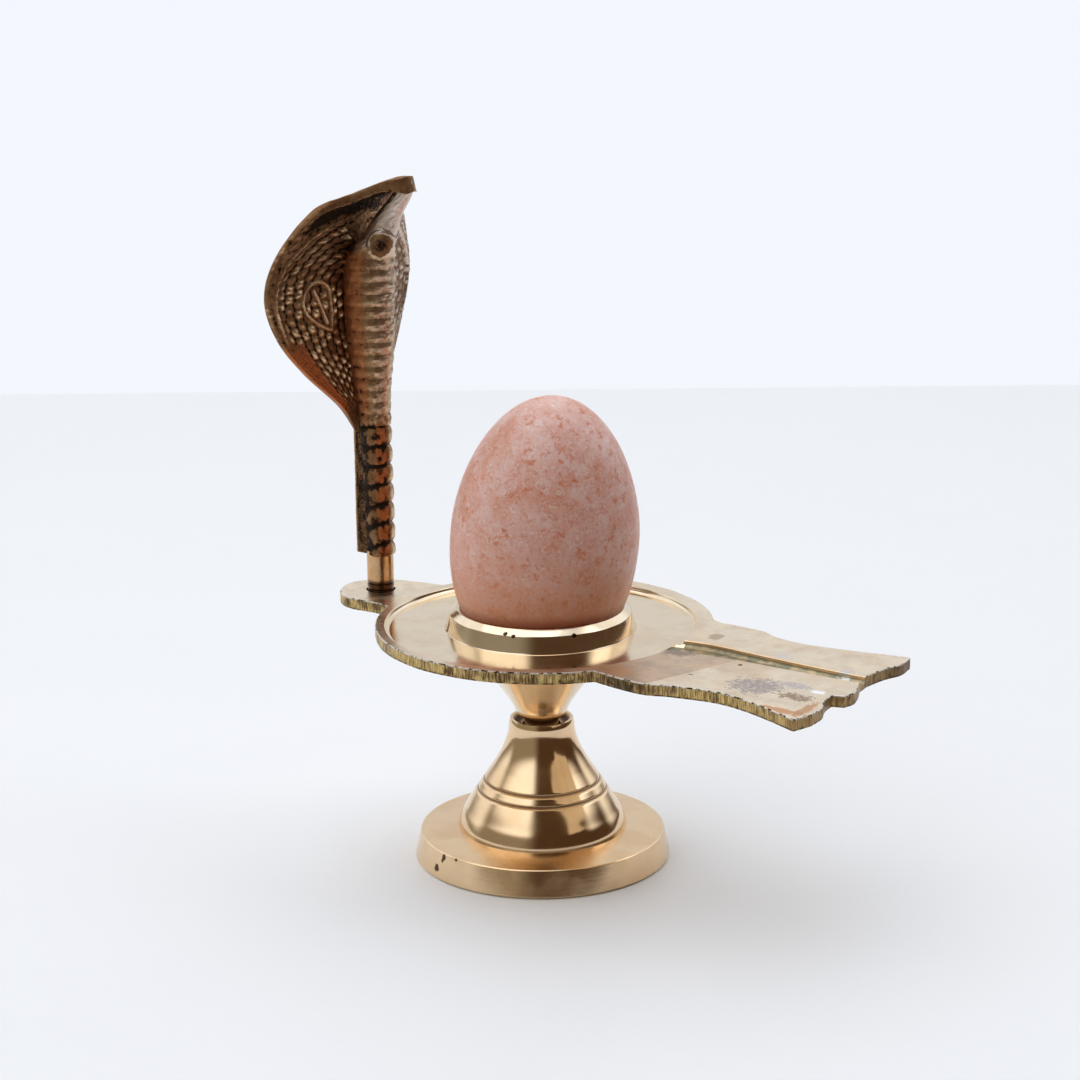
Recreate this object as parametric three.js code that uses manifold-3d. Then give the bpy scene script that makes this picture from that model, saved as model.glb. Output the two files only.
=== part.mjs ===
// Shiva lingam stone on a brass stand: an egg-shaped stone that rests in the collar of a yoni plate,
// which has a spout and carries a hooded cobra, over a turned bell foot.
// Millimetres, +Z up. The origin is the middle of the foot's underside, on the turned axis.
// +X runs along the drain channel to the end of the spout, and the cobra stands at -X.
import * as THREE from "three";
import { mergeVertices } from "three/addons/utils/BufferGeometryUtils.js";
import Module from "manifold-3d";

const wasm = await Module();
wasm.setup();

// Driving dimensions
const clearance = 0.3; // between pieces that touch

const footRadius = 25.0;
const footRimHeight = 5.6; // height of the disc's top edge
const footTopRadius = 24.1;
const bellFootRadius = 16.4; // where the bell meets the disc
const bellFootHeight = 6.3;
const bellTopRadius = 6.3;
const bellTopHeight = 28.5;
const bellLineHeights = [14.0, 15.9]; // the two incised lines
const bellLineDepth = 0.35;
const footRecessDepth = 1.2; // ring turned into the underside
const footLandRadius = 8.0; // flat left in its middle

const studRadius = 3.4;
const studBottom = 22.0;
const bowlFootHeight = 29.5; // small end of the bowl, just over the bell
const bowlFootRadius = 4.9;
const plateBottom = 45.8;
const plateTop = 48.1;
const basinFloor = 47.4;
const basinRadius = 30.45;
const coveRadius = 0.8; // fillet between basin floor and rim
const collarFootRadius = 18.5;
const collarTopRadius = 17.75;
const collarEdgeHeight = 50.75; // outer top edge of the collar
const collarLipHeight = 51.5; // inner edge, where the stone rests
const collarBore = 16.35;
const bowlFloor = 38.9; // inside, under the stone

const plateRadius = 33.1;
const plateCentre = [0.5, 0.6]; // the hand-cut outline isn't quite on the turned axis
const tabEnd = -48.3;
const channelDepth = 1.3;

const stoneRadius = 18.37;
const stoneCrown = 27.4; // widest section to the top
const stoneKeel = 26.0; // widest section to the bottom
const crownPower = 1.12; // over 1 is more pointed than an ellipse
const keelPower = 0.86; // under 1 is blunter
const stoneHeight = 65.5; // of the widest section
const stoneLean = THREE.MathUtils.degToRad(5.5);
const stoneLeanDirection = THREE.MathUtils.degToRad(55.5);
const stoneShift = 1.03; // the widest section moves this far with the lean

const pinPlace = [-40.2, 2.2];
const pinRadius = 2.7;
const pinGroove = [1.5, 2.1]; // heights over the tab
const pinGrooveDepth = 0.35;
const bodyFoot = 7.3; // the ringed body starts here, over the tab
const ringPitch = 4.15;
const ringCount = 7;
const ribTop = 68.5;
const ribCount = 14;
const grooveDepth = 0.45; // between two rings
const hoodThickness = 1.7;
const snoutThickness = 3.2;
const raisedLineRadius = 0.4; // the arch and the spectacle mark on the hood
const raisedLineSteps = 9;

const turnSteps = 36; // facets round a turned piece
const stoneSteps = 28;

const brass = (name, colour, roughness) =>
  new THREE.MeshStandardMaterial({ name, color: colour, roughness, metalness: 1 });
const stoneFinish = new THREE.MeshStandardMaterial({
  name: "stone",
  color: 0xd98f7c,
  roughness: 0.35,
  metalness: 0,
});
const plateFinish = brass("satin brass", 0xc8a878, 0.38);
const footFinish = brass("turned brass", 0xc99a5b, 0.25);
const cobraFinish = brass("old brass", 0x7a5530, 0.5);

// A closed geometry as a solid that can be joined and cut.
function solidOf(geometry) {
  const bare = geometry.clone();
  bare.deleteAttribute("normal");
  bare.deleteAttribute("uv");
  const merged = mergeVertices(bare, 1e-4);
  return new wasm.Manifold(
    new wasm.Mesh({
      numProp: 3,
      vertProperties: new Float32Array(merged.attributes.position.array),
      triVerts: new Uint32Array(merged.index.array),
    }),
  );
}

function geometryOf(solid) {
  const mesh = solid.getMesh();
  const geometry = new THREE.BufferGeometry();
  geometry.setAttribute("position", new THREE.BufferAttribute(mesh.vertProperties, 3));
  geometry.setIndex(new THREE.BufferAttribute(mesh.triVerts, 1));
  geometry.computeVertexNormals();
  return geometry;
}

// A turned solid from [radius, height] pairs that start and end on the axis, from the bottom up.
function turned(profile, steps = turnSteps) {
  const points = profile.map(([radius, height]) => new THREE.Vector2(radius, height));
  return new THREE.LatheGeometry(points, steps).rotateX(Math.PI / 2);
}

// The points of a smooth profile through a few [radius, height] pairs.
function smoothProfile(pairs, count) {
  const curve = new THREE.SplineCurve(pairs.map(([r, h]) => new THREE.Vector2(r, h)));
  return curve.getPoints(count).map((p) => [p.x, p.y]);
}

function piece(name, geometry, material) {
  const mesh = new THREE.Mesh(geometry, material);
  mesh.name = name;
  return mesh;
}

// The egg is an ellipse of revolution whose upper half is drawn out and whose lower half is blunter.
function lingamStone() {
  const rings = 10;
  const profile = [];
  for (let i = 0; i <= 2 * rings; i++) {
    const angle = (Math.PI * i) / (2 * rings) - Math.PI / 2;
    const rise = Math.sin(angle);
    const height =
      rise > 0 ? stoneCrown * rise ** crownPower : -stoneKeel * (-rise) ** keelPower;
    profile.push([i === 0 || i === 2 * rings ? 0 : stoneRadius * Math.cos(angle), height]);
  }
  const stone = piece("lingam_stone", turned(profile, stoneSteps), stoneFinish);
  const along = new THREE.Vector3(Math.cos(stoneLeanDirection), Math.sin(stoneLeanDirection), 0);
  const hinge = new THREE.Vector3(-along.y, along.x, 0);
  stone.setRotationFromAxisAngle(hinge, stoneLean);
  stone.position.set(along.x * stoneShift, along.y * stoneShift, stoneHeight);
  return stone;
}

// A bell with two incised lines on a disc whose side flares a little, hollowed underneath.
function standFoot() {
  const bell = smoothProfile(
    [
      [bellFootRadius, bellFootHeight],
      [15.1, 9.5],
      [13.6, 12.2],
      [11.5, 15.5],
      [9.2, 19.0],
      [7.5, 22.2],
      [6.5, 25.4],
      [bellTopRadius, 27.6],
    ],
    10,
  );
  const bellRadiusAt = (height) => {
    const above = bell.findIndex((p) => p[1] > height);
    const [low, high] = [bell[above - 1], bell[above]];
    return low[0] + ((high[0] - low[0]) * (height - low[1])) / (high[1] - low[1]);
  };
  const halfLine = 0.25;
  const lines = bellLineHeights.flatMap((height) => [
    [bellRadiusAt(height - halfLine), height - halfLine],
    [bellRadiusAt(height) - bellLineDepth, height],
    [bellRadiusAt(height + halfLine), height + halfLine],
  ]);
  const nearLine = ([, h]) => bellLineHeights.some((line) => Math.abs(h - line) < 2 * halfLine);
  const side = [...bell.filter((p) => !nearLine(p)), ...lines].sort((p, q) => p[1] - q[1]);
  const boreRadius = studRadius + clearance;
  const profile = [
    [0, 0],
    [footLandRadius, 0],
    [footLandRadius + 1, footRecessDepth],
    [footRadius - 4.5, footRecessDepth],
    [footRadius - 3.5, 0],
    [footRadius - 0.5, 0],
    [footRadius, 0.5],
    [footTopRadius + 0.3, footRimHeight - 0.5],
    [footTopRadius - 0.2, footRimHeight],
    ...side,
    [bellTopRadius - 0.2, bellTopHeight],
    [boreRadius + 0.6, bellTopHeight],
    [boreRadius, bellTopHeight - 0.6],
    [boreRadius, studBottom - clearance],
    [0, studBottom - clearance],
  ];
  return piece("stand_foot", turned(profile), footFinish);
}

// What the lathe made of the plate's casting: stud, bowl, collar and the lip that the stone rests on.
function bowlAndCollar() {
  const bowl = smoothProfile(
    [
      [bowlFootRadius, bowlFootHeight],
      [5.6, 31.2],
      [6.8, 33.2],
      [8.9, 36.1],
      [12.4, 40.2],
      [17.2, plateBottom + 0.2],
    ],
    9,
  );
  return turned([
    [0, studBottom],
    [studRadius, studBottom],
    [studRadius, bowlFootHeight - 0.1],
    [bowlFootRadius - 0.3, bowlFootHeight - 0.1],
    ...bowl,
    [collarFootRadius + 0.8, basinFloor - 0.3],
    [collarFootRadius + 0.1, basinFloor + 0.3],
    [collarTopRadius, collarEdgeHeight - 0.15],
    [collarTopRadius - 0.15, collarEdgeHeight],
    [collarBore, collarLipHeight],
    [0, collarLipHeight],
  ]);
}

// The points of a smooth line through a few places, with a few steps between two of them.
function smoothLine(places, stepsBetween = 3) {
  const curve = new THREE.SplineCurve(places.map(([x, y]) => new THREE.Vector2(x, y)));
  return curve.getPoints(stepsBetween * (places.length - 1));
}

// The outline cut by hand with saw and file: round basin, tab for the cobra, flared spout.
function plateOutline() {
  const [cx, cy] = plateCentre;
  const arc = (from, to, steps) => {
    const [a, b] = [from, to].map(THREE.MathUtils.degToRad);
    return new THREE.EllipseCurve(cx, cy, plateRadius, plateRadius, a, b).getPoints(steps);
  };
  const tab = smoothLine([
    [-36.0, 10.5],
    [-41.8, 9.2],
    [-46.6, 5.9],
    [tabEnd, 2.2],
    [-46.9, -2.6],
    [-44.2, -5.3],
    [-41.0, -6.4],
    [-37.0, -6.3],
    [-34.4, -6.5],
  ]);
  const nearSide = smoothLine([
    [29.0, -21.9],
    [36.5, -22.9],
    [42.5, -21.3],
    [51.5, -20.2],
    [60.0, -22.3],
    [70.0, -26.6],
  ]);
  // The cut end: two lobes with a notch between them on the near half, the channel's mouth, and a
  // plainer half beyond it.
  const lobes = [
    smoothLine([[71.3, -22.5], [71.2, -18.2], [69.9, -14.4], [69.4, -11.0]]),
    smoothLine([[71.6, -10.3], [72.2, -7.6], [71.2, -3.9], [70.0, -1.0]]),
    smoothLine([[69.8, 2.5], [70.6, 7.6], [72.1, 12.0], [71.7, 16.7]]),
  ].flat();
  const farSide = [
    smoothLine([[61.0, 14.8], [51.0, 13.8], [43.8, 15.0]]),
    smoothLine([[40.8, 16.9], [35.0, 17.6], [31.0, 17.6]]),
  ].flat();
  return new THREE.Shape([
    ...arc(33, 161.5, 16),
    ...tab,
    ...arc(193.5, 319, 16),
    ...nearSide,
    ...lobes,
    ...farSide,
  ]);
}

// A wide mouth at the basin that narrows to an even channel with a rounded bottom.
function drainChannel() {
  const mouth = 28.6;
  const end = 75;
  const nearWall = smoothLine([
    [mouth, -6.0],
    [33.0, -4.9],
    [38.0, -3.6],
    [45.0, -3.0],
    [60.0, -2.6],
    [end, -2.4],
  ]);
  const farWall = smoothLine([
    [end, 0.3],
    [60.0, 1.2],
    [48.0, 1.9],
    [38.0, 3.2],
    [mouth, 3.6],
  ]);
  const shape = new THREE.Shape([...nearWall, ...farWall]);
  const rounding = 0.9;
  const cutter = new THREE.ExtrudeGeometry(shape, {
    depth: 4,
    bevelThickness: rounding,
    bevelSize: rounding,
    bevelSegments: 3,
  });
  return cutter.translate(0, 0, plateTop - channelDepth + rounding);
}

function yoniPlate() {
  const slab = new THREE.ExtrudeGeometry(plateOutline(), {
    depth: plateTop - plateBottom,
    bevelEnabled: false,
  }).translate(0, 0, plateBottom);
  const basin = turned([
    [0, basinFloor],
    [basinRadius - coveRadius, basinFloor],
    [basinRadius - 0.25 * coveRadius, basinFloor + 0.25 * coveRadius],
    [basinRadius, basinFloor + coveRadius],
    [basinRadius, plateTop + 2],
    [0, plateTop + 2],
  ]);
  const seat = turned([
    [0, bowlFloor],
    [6.0, bowlFloor],
    [10.5, 41.2],
    [13.6, 44.2],
    [15.4, 47.2],
    [collarBore, 50.6],
    [collarBore, collarLipHeight + 1],
    [0, collarLipHeight + 1],
  ]);
  const pinHole = new THREE.CylinderGeometry(
    pinRadius + clearance,
    pinRadius + clearance,
    4 * (plateTop - plateBottom),
    24,
  )
    .rotateX(Math.PI / 2)
    .translate(pinPlace[0], pinPlace[1], plateTop);
  const solid = solidOf(slab)
    .subtract(solidOf(basin))
    .add(solidOf(bowlAndCollar()))
    .subtract(solidOf(seat))
    .subtract(solidOf(drainChannel()))
    .subtract(solidOf(pinHole));
  return piece("yoni_plate", geometryOf(solid), plateFinish);
}

// In the cobra's own frame x is forward, towards the stone, y is sideways, and z is the height over
// the tab. The hood is a sheet between its free edge and its middle line, which run up together and
// bend forward over the head.
const hoodEdge = new THREE.CatmullRomCurve3(
  [
    [-4.3, 2.0, 32.9],
    [-4.6, 5.9, 38.4],
    [-7.0, 13.2, 45.9],
    [-8.9, 19.0, 53.5],
    [-9.2, 22.1, 61.9],
    [-7.9, 20.2, 69.9],
    [-3.9, 13.9, 77.9],
    [1.5, 8.0, 82.2],
    [9.2, 1.7, 84.6],
  ].map((p) => new THREE.Vector3(...p)),
);
const hoodMiddle = new THREE.CatmullRomCurve3(
  [
    [-3.4, 0, 32.9],
    [-3.8, 0, 38.4],
    [-4.4, 0, 45.9],
    [-4.9, 0, 53.5],
    [-4.9, 0, 61.9],
    [-4.3, 0, 70.2],
    [-2.2, 0, 78.6],
    [3.0, 0, 83.0],
    [9.6, 0, 84.9],
  ].map((p) => new THREE.Vector3(...p)),
);

// A point of the hood's front face: across runs from -1 to 1, up from 0 to 1.
function hoodPoint(across, up) {
  const edge = hoodEdge.getPoint(up);
  const middle = hoodMiddle.getPoint(up);
  const bow = Math.abs(across) ** 1.5;
  return new THREE.Vector3(
    middle.x + (edge.x - middle.x) * bow,
    edge.y * across,
    middle.z + (edge.z - middle.z) * bow,
  );
}

function hoodNormal(across, up) {
  const step = 0.01;
  const a = Math.min(Math.max(across, step - 1), 1 - step);
  const u = Math.min(Math.max(up, step), 1 - step);
  const sideways = hoodPoint(a + step, u).sub(hoodPoint(a - step, u));
  const upward = hoodPoint(a, u + step).sub(hoodPoint(a, u - step));
  return sideways.cross(upward).normalize();
}

function hoodSheet() {
  const sheet = new THREE.BoxGeometry(2, 1, 1, 14, 1, 17);
  const place = sheet.attributes.position;
  for (let i = 0; i < place.count; i++) {
    const across = place.getX(i);
    const front = 0.5 - place.getY(i);
    const up = place.getZ(i) + 0.5;
    const snout = THREE.MathUtils.smoothstep(up, 0.85, 1);
    const edging = 1 - 0.3 * Math.abs(across) ** 4 * (1 - snout);
    const thickness = (hoodThickness + (snoutThickness - hoodThickness) * snout) * edging;
    const point = hoodPoint(across, up).addScaledVector(
      hoodNormal(across, up),
      (front - 0.5 * (1 - snout)) * thickness,
    );
    place.setXYZ(i, point.x, point.y, point.z);
  }
  return sheet;
}

// The column is a stack of level sections, [height, front, back, half width], from the pin to the snout.
const columnSections = [
  [bodyFoot, 3.2, -2.2, 3.0],
  [34.5, 3.0, -3.6, 3.0],
  [41.0, 3.2, -4.8, 3.3],
  [50.0, 4.1, -5.6, 4.0],
  [62.0, 4.3, -5.6, 4.5],
  [68.5, 4.7, -5.0, 4.2],
  [72.5, 5.7, -3.6, 3.5],
  [77.0, 7.4, -1.6, 2.9],
  [81.0, 9.9, 1.0, 2.2],
  [82.4, 10.4, 3.0, 1.7],
  [84.0, 10.1, 4.5, 1.4],
];

function columnSection(height) {
  const above = columnSections.findIndex((row) => row[0] >= height);
  if (above <= 0) return columnSections[0];
  const [low, high] = [columnSections[above - 1], columnSections[above]];
  const t = (height - low[0]) / (high[0] - low[0]);
  return low.map((value, i) => THREE.MathUtils.lerp(value, high[i], t));
}

// Heights and groove depths of the rings and of the narrower belly ribs above them.
function columnLevels() {
  const levels = [];
  const repeat = (start, pitch, count, depth) => {
    for (let i = 0; i < count; i++) {
      [0, 0.25, 0.75].forEach((part) => {
        levels.push([start + (i + part) * pitch, part === 0 ? depth : 0]);
      });
    }
  };
  const ringTop = bodyFoot + (ringCount - 0.5) * ringPitch;
  levels.push([bodyFoot, grooveDepth]);
  repeat(bodyFoot + 0.5 * ringPitch, ringPitch, ringCount - 1, grooveDepth);
  repeat(ringTop, (ribTop - ringTop) / ribCount, ribCount, 0.7 * grooveDepth);
  [ribTop, 70.5, 72.5, 75.0, 77.0, 79.0, 81.0, 82.4, 84.0].forEach((h) => levels.push([h, 0]));
  return levels;
}

function ringedColumn() {
  const levels = columnLevels();
  const column = new THREE.CylinderGeometry(1, 1, 1, 10, levels.length - 1);
  const place = column.attributes.position;
  for (let i = 0; i < place.count; i++) {
    const level = Math.round((place.getY(i) + 0.5) * (levels.length - 1));
    const [height, groove] = levels[level];
    const [, front, back, halfWidth] = columnSection(height);
    const depth = (front - back) / 2;
    const forward = place.getX(i) * (depth - groove);
    const sideways = place.getZ(i) * (halfWidth - groove);
    place.setXYZ(i, (front + back) / 2 + forward, -sideways, height);
  }
  return column;
}

// The flat bar behind the body, which the hood grows out of.
function spineBar() {
  const bar = new THREE.Shape();
  bar.moveTo(-4.4, bodyFoot + 0.3);
  bar.lineTo(-1.0, bodyFoot + 0.3);
  bar.lineTo(-1.0, 36);
  bar.lineTo(-4.6, 36);
  return new THREE.ExtrudeGeometry(bar, { depth: 4, bevelEnabled: false })
    .translate(0, 0, -2)
    .rotateX(Math.PI / 2);
}

function pin() {
  const [low, high] = pinGroove;
  return turned(
    [
      [0, plateBottom - plateTop],
      [pinRadius, plateBottom - plateTop],
      [pinRadius, low],
      [pinRadius - pinGrooveDepth, low + 0.1],
      [pinRadius - pinGrooveDepth, high - 0.1],
      [pinRadius, high],
      [pinRadius, bodyFoot + 1],
      [0, bodyFoot + 1],
    ],
    20,
  );
}

// A thin raised line that follows the hood's front face through [across, up] pairs.
function raisedLine(pairs, steps) {
  const flat = new THREE.SplineCurve(pairs.map(([a, u]) => new THREE.Vector2(a, u)));
  const lift = 0.5 * hoodThickness;
  const path = new THREE.CatmullRomCurve3(
    flat
      .getPoints(steps)
      .map((p) => hoodPoint(p.x, p.y).addScaledVector(hoodNormal(p.x, p.y), lift)),
  );
  const section = new THREE.Shape();
  section.moveTo(raisedLineRadius, 0);
  section.lineTo(0, raisedLineRadius);
  section.lineTo(-raisedLineRadius, 0);
  section.lineTo(0, -raisedLineRadius);
  return new THREE.ExtrudeGeometry(section, { steps, extrudePath: path, bevelEnabled: false });
}

function naga() {
  let solid = solidOf(hoodSheet())
    .add(solidOf(ringedColumn()))
    .add(solidOf(spineBar()))
    .add(solidOf(pin()));
  for (const side of [-1, 1]) {
    const arch = [[0.88, 0.42], [0.9, 0.52], [0.87, 0.61], [0.69, 0.68], [0.42, 0.71]];
    const spectacle = [[0.61, 0.44], [0.63, 0.5], [0.54, 0.53], [0.4, 0.53], [0.33, 0.47], [0.37, 0.39]];
    for (const line of [arch, spectacle]) {
      const pairs = line.map(([across, up]) => [across * side, up]);
      solid = solid.add(solidOf(raisedLine(pairs, raisedLineSteps)));
    }
  }
  const cobra = piece("naga", geometryOf(solid), cobraFinish);
  cobra.position.set(pinPlace[0], pinPlace[1], plateTop);
  cobra.rotation.z = Math.atan2(-pinPlace[1], -pinPlace[0]); // it faces the stone
  return cobra;
}

const group = new THREE.Group();
group.add(lingamStone(), standFoot(), yoniPlate(), naga());

export default group;
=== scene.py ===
# %% [markdown]
# # A shiva lingam stone on its brass stand
#
# The object is an egg of pink-orange stone that rests in the collar of a brass yoni plate. The plate has a
# round basin, a spout with a drain channel and a small tab, on which a cobra of old bronze stands. A turned
# bell foot carries it all. The CAD model gives every piece its real size and place. Here each piece is made
# again with fine surfaces, its own finish, and the marks of the lathe, the saw and years of use.

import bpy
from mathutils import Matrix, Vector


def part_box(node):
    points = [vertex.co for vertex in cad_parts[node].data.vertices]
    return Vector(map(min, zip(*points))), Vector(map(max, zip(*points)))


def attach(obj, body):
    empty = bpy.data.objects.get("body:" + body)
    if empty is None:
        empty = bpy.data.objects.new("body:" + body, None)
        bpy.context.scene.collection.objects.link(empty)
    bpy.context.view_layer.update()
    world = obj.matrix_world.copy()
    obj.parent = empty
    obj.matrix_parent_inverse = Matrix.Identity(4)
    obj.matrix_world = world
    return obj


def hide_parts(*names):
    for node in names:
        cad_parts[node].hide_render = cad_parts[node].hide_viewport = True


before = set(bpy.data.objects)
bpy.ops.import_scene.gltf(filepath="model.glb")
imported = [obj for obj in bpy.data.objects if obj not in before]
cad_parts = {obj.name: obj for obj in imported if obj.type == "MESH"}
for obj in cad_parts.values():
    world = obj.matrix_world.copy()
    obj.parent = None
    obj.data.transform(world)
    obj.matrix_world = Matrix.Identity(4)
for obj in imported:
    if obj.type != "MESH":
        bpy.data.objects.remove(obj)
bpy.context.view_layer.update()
print("CAD nodes:", sorted(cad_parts))

# %% [markdown]
# ## Units and the sizes that drive the shapes
#
# Blender works in metres, but a small brass casting is easier to describe in millimetres. So every form is
# built in millimetres and scaled once, when it becomes a piece. The main sizes are those of the CAD model,
# and a few were then fitted more closely to the photograph.

# %% Sizes in millimetres
import math

import bmesh
import bpy
from mathutils import Matrix, Vector, noise

MM = 0.001
TURN_STEPS = 192  # facets round a turned piece

FOOT_RADIUS = 25.25
FOOT_RIM_HEIGHT = 5.6
FOOT_TOP_RADIUS = 24.1
BELL_TOP_RADIUS = 6.45
BELL_TOP = 28.5
BELL_LINES = (14.0, 15.9)

STUD_RADIUS = 3.4
STUD_BOTTOM = 22.0
BOWL_FOOT = 29.5
BOWL_FOOT_RADIUS = 4.9
PLATE_BOTTOM = 45.8
PLATE_TOP = 48.1
BASIN_FLOOR = 47.1
BASIN_RADIUS = 30.45
COLLAR_FOOT_RADIUS = 18.5
COLLAR_TOP_RADIUS = 17.75
COLLAR_EDGE = 50.4
COLLAR_LIP = 51.5
SEAT_RADIUS = 15.3
SEAT_PLAY = 0.05
BOWL_FLOOR = 38.9
PLATE_RADIUS = 33.1
PLATE_CENTRE = Vector((0.5, 0.6))
CHANNEL_DEPTH = 1.3

PIN_PLACE = Vector((-40.2, 2.2, PLATE_TOP))
PIN_RADIUS = 2.7
BODY_FOOT = 7.3
RING_PITCH = 4.15
RIB_TOP = 68.5
HOOD_THICKNESS = 1.7
SNOUT_THICKNESS = 3.2

low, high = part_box("stand_foot")
print("foot is %.1f mm wide in the frame" % ((high[0] - low[0]) / MM))

# %% [markdown]
# ## From a form to a piece
#
# A form is a bmesh in millimetres. `make_piece` gives it a finish, shades it smooth with weighted normals,
# so that large flat faces stay flat, and hides the CAD node that the piece stands for.

# %% Helpers for curves and pieces
def smooth_line(places, steps):
    """Points on a smooth line through a few places, with that many steps between two of them."""
    points = [Vector(place) for place in places]
    line = []
    for i in range(len(points) - 1):
        before, start = points[max(i - 1, 0)], points[i]
        end, after = points[i + 1], points[min(i + 2, len(points) - 1)]
        for k in range(steps):
            t = k / steps
            bend = (2 * before - 5 * start + 4 * end - after) * t * t
            twist = (3 * start - before - 3 * end + after) * t ** 3
            line.append(0.5 * (2 * start + (end - before) * t + bend + twist))
    line.append(points[-1])
    return line


def ease(low, high, value):
    """0 below low, 1 above high, and a smooth step between them."""
    t = min(max((value - low) / (high - low), 0.0), 1.0)
    return t * t * (3 - 2 * t)


def mesh_of(form, name):
    mesh = bpy.data.meshes.new(name)
    form.to_mesh(mesh)
    form.free()
    return mesh


def in_scene(name, data):
    """A new object in the scene, unturned at the origin."""
    thing = bpy.data.objects.new(name, data)
    bpy.context.scene.collection.objects.link(thing)
    return thing


def make_piece(name, mesh, node, finishes, sharp=30.0):
    """A finished mesh in millimetres becomes a piece in metres that stands for a CAD node."""
    mesh.transform(Matrix.Scale(MM, 4))
    mesh.shade_smooth()
    mesh.set_sharp_from_angle(angle=math.radians(sharp))
    piece = in_scene(name, mesh)
    piece.modifiers.new("flat faces stay flat", "WEIGHTED_NORMAL").keep_sharp = True
    for finish in finishes:
        piece.data.materials.append(finish)
    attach(piece, "root")
    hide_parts(node)
    print(name, "has", len(mesh.vertices), "vertices")


# %% [markdown]
# ## Joining nodes with few words
#
# A material is a small network. These helpers add one node each and return its output, so that a finish
# reads like a recipe. Patterns are sized in millimetres on Object coordinates, which never slide.

# %% Helpers for shader nodes
def add_node(tree, kind, inputs=None, **settings):
    node = tree.nodes.new(kind)
    for name, value in settings.items():
        setattr(node, name, value)
    for name, value in (inputs or {}).items():
        if isinstance(value, bpy.types.NodeSocket):
            tree.links.new(value, node.inputs[name])
        else:
            node.inputs[name].default_value = value
    return node


def calculate(tree, operation, *values):
    """One Math node, such as ADD or MULTIPLY, and its result."""
    return add_node(tree, "ShaderNodeMath", dict(enumerate(values)), operation=operation).outputs[0]


def mixed(tree, factor, first, second, how="MIX"):
    inputs = {0: factor, 6: first, 7: second}
    return add_node(tree, "ShaderNodeMix", inputs, data_type="RGBA", blend_type=how).outputs[2]


def remapped(tree, value, low, high, low_out=0.0, high_out=1.0):
    inputs = {"Value": value, "From Min": low, "From Max": high, "To Min": low_out, "To Max": high_out}
    return add_node(tree, "ShaderNodeMapRange", inputs, interpolation_type="SMOOTHSTEP").outputs[0]


def product(tree, first, *others):
    for other in others:
        first = calculate(tree, "MULTIPLY", first, other)
    return first


def between(tree, value, low, high, low_out=0.0, high_out=1.0):
    """A smooth step of a place or a distance, with its limits in millimetres."""
    return remapped(tree, value, low * MM, high * MM, low_out, high_out)


def axes_of(tree, vector):
    return add_node(tree, "ShaderNodeSeparateXYZ", {0: vector}).outputs


def axis_distance(tree, x, y):
    squares = [calculate(tree, "MULTIPLY", side, side) for side in (x, y)]
    return calculate(tree, "SQRT", calculate(tree, "ADD", *squares))


def noise_of(tree, place, size, detail=4.0, roughness=0.55):
    inputs = {"Vector": place, "Scale": 1 / (size * MM), "Detail": detail, "Roughness": roughness}
    return add_node(tree, "ShaderNodeTexNoise", inputs).outputs[0]


def stretched(tree, place, scale):
    return add_node(tree, "ShaderNodeMapping", {"Vector": place, "Scale": scale}).outputs[0]


def colour(red, green, blue):
    return (red, green, blue, 1.0)


def shader_group(name, inputs, outputs):
    """An empty group with named sockets: its tree, its input sockets and its output node."""
    tree = bpy.data.node_groups.new(name, "ShaderNodeTree")
    for label, (kind, value) in inputs.items():
        socket = tree.interface.new_socket(name=label, in_out="INPUT", socket_type="NodeSocket" + kind)
        socket.default_value = value
    for label, kind in outputs.items():
        tree.interface.new_socket(name=label, in_out="OUTPUT", socket_type="NodeSocket" + kind)
    return tree, tree.nodes.new("NodeGroupInput").outputs, tree.nodes.new("NodeGroupOutput")


def use_group(tree, group, output, **inputs):
    node = add_node(tree, "ShaderNodeGroup", node_tree=group)
    for label, value in inputs.items():
        name = label.replace("_", " ")
        if isinstance(value, bpy.types.NodeSocket):
            tree.links.new(value, node.inputs[name])
        else:
            node.inputs[name].default_value = value
    return node.outputs[output]


# %% [markdown]
# ## Effects that several finishes share
#
# Patches are cloudy areas with a soft border: tarnish, dirt, or worn spots. They are made once as a group,
# and each material asks for its own size and amount.

# %% Group: patches
patches, given, result = shader_group(
    "patches",
    {"Vector": ("Vector", (0, 0, 0)), "Size": ("Float", 5.0), "Low": ("Float", 0.5), "High": ("Float", 0.6)},
    {"Mask": "Float"},
)
scale = calculate(patches, "DIVIDE", 1 / MM, given["Size"])
cloud = add_node(patches, "ShaderNodeTexNoise", {"Vector": given["Vector"], "Scale": scale, "Detail": 6.0})
soft = {"Value": cloud.outputs[0], "From Min": given["Low"], "From Max": given["High"]}
border = add_node(patches, "ShaderNodeMapRange", soft, interpolation_type="SMOOTHSTEP")
patches.links.new(border.outputs[0], result.inputs["Mask"])
print("group:", patches.name)


def patch_mask(tree, place, size, low, high):
    return use_group(tree, patches, "Mask", Vector=place, Size=size, Low=low, High=high)


def film_roughness(tree, place, size, more, least):
    """A roughness that rises from its least value where a film of that patch size lies."""
    film = patch_mask(tree, place, size, 0.4, 0.7)
    return calculate(tree, "MULTIPLY_ADD", film, more, least)


# %% [markdown]
# A spot is one ragged mark at a known place, such as a pit, a nick full of dirt or a stain. Its distance
# from the place is disturbed by noise, so that its border is never a circle.

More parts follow.
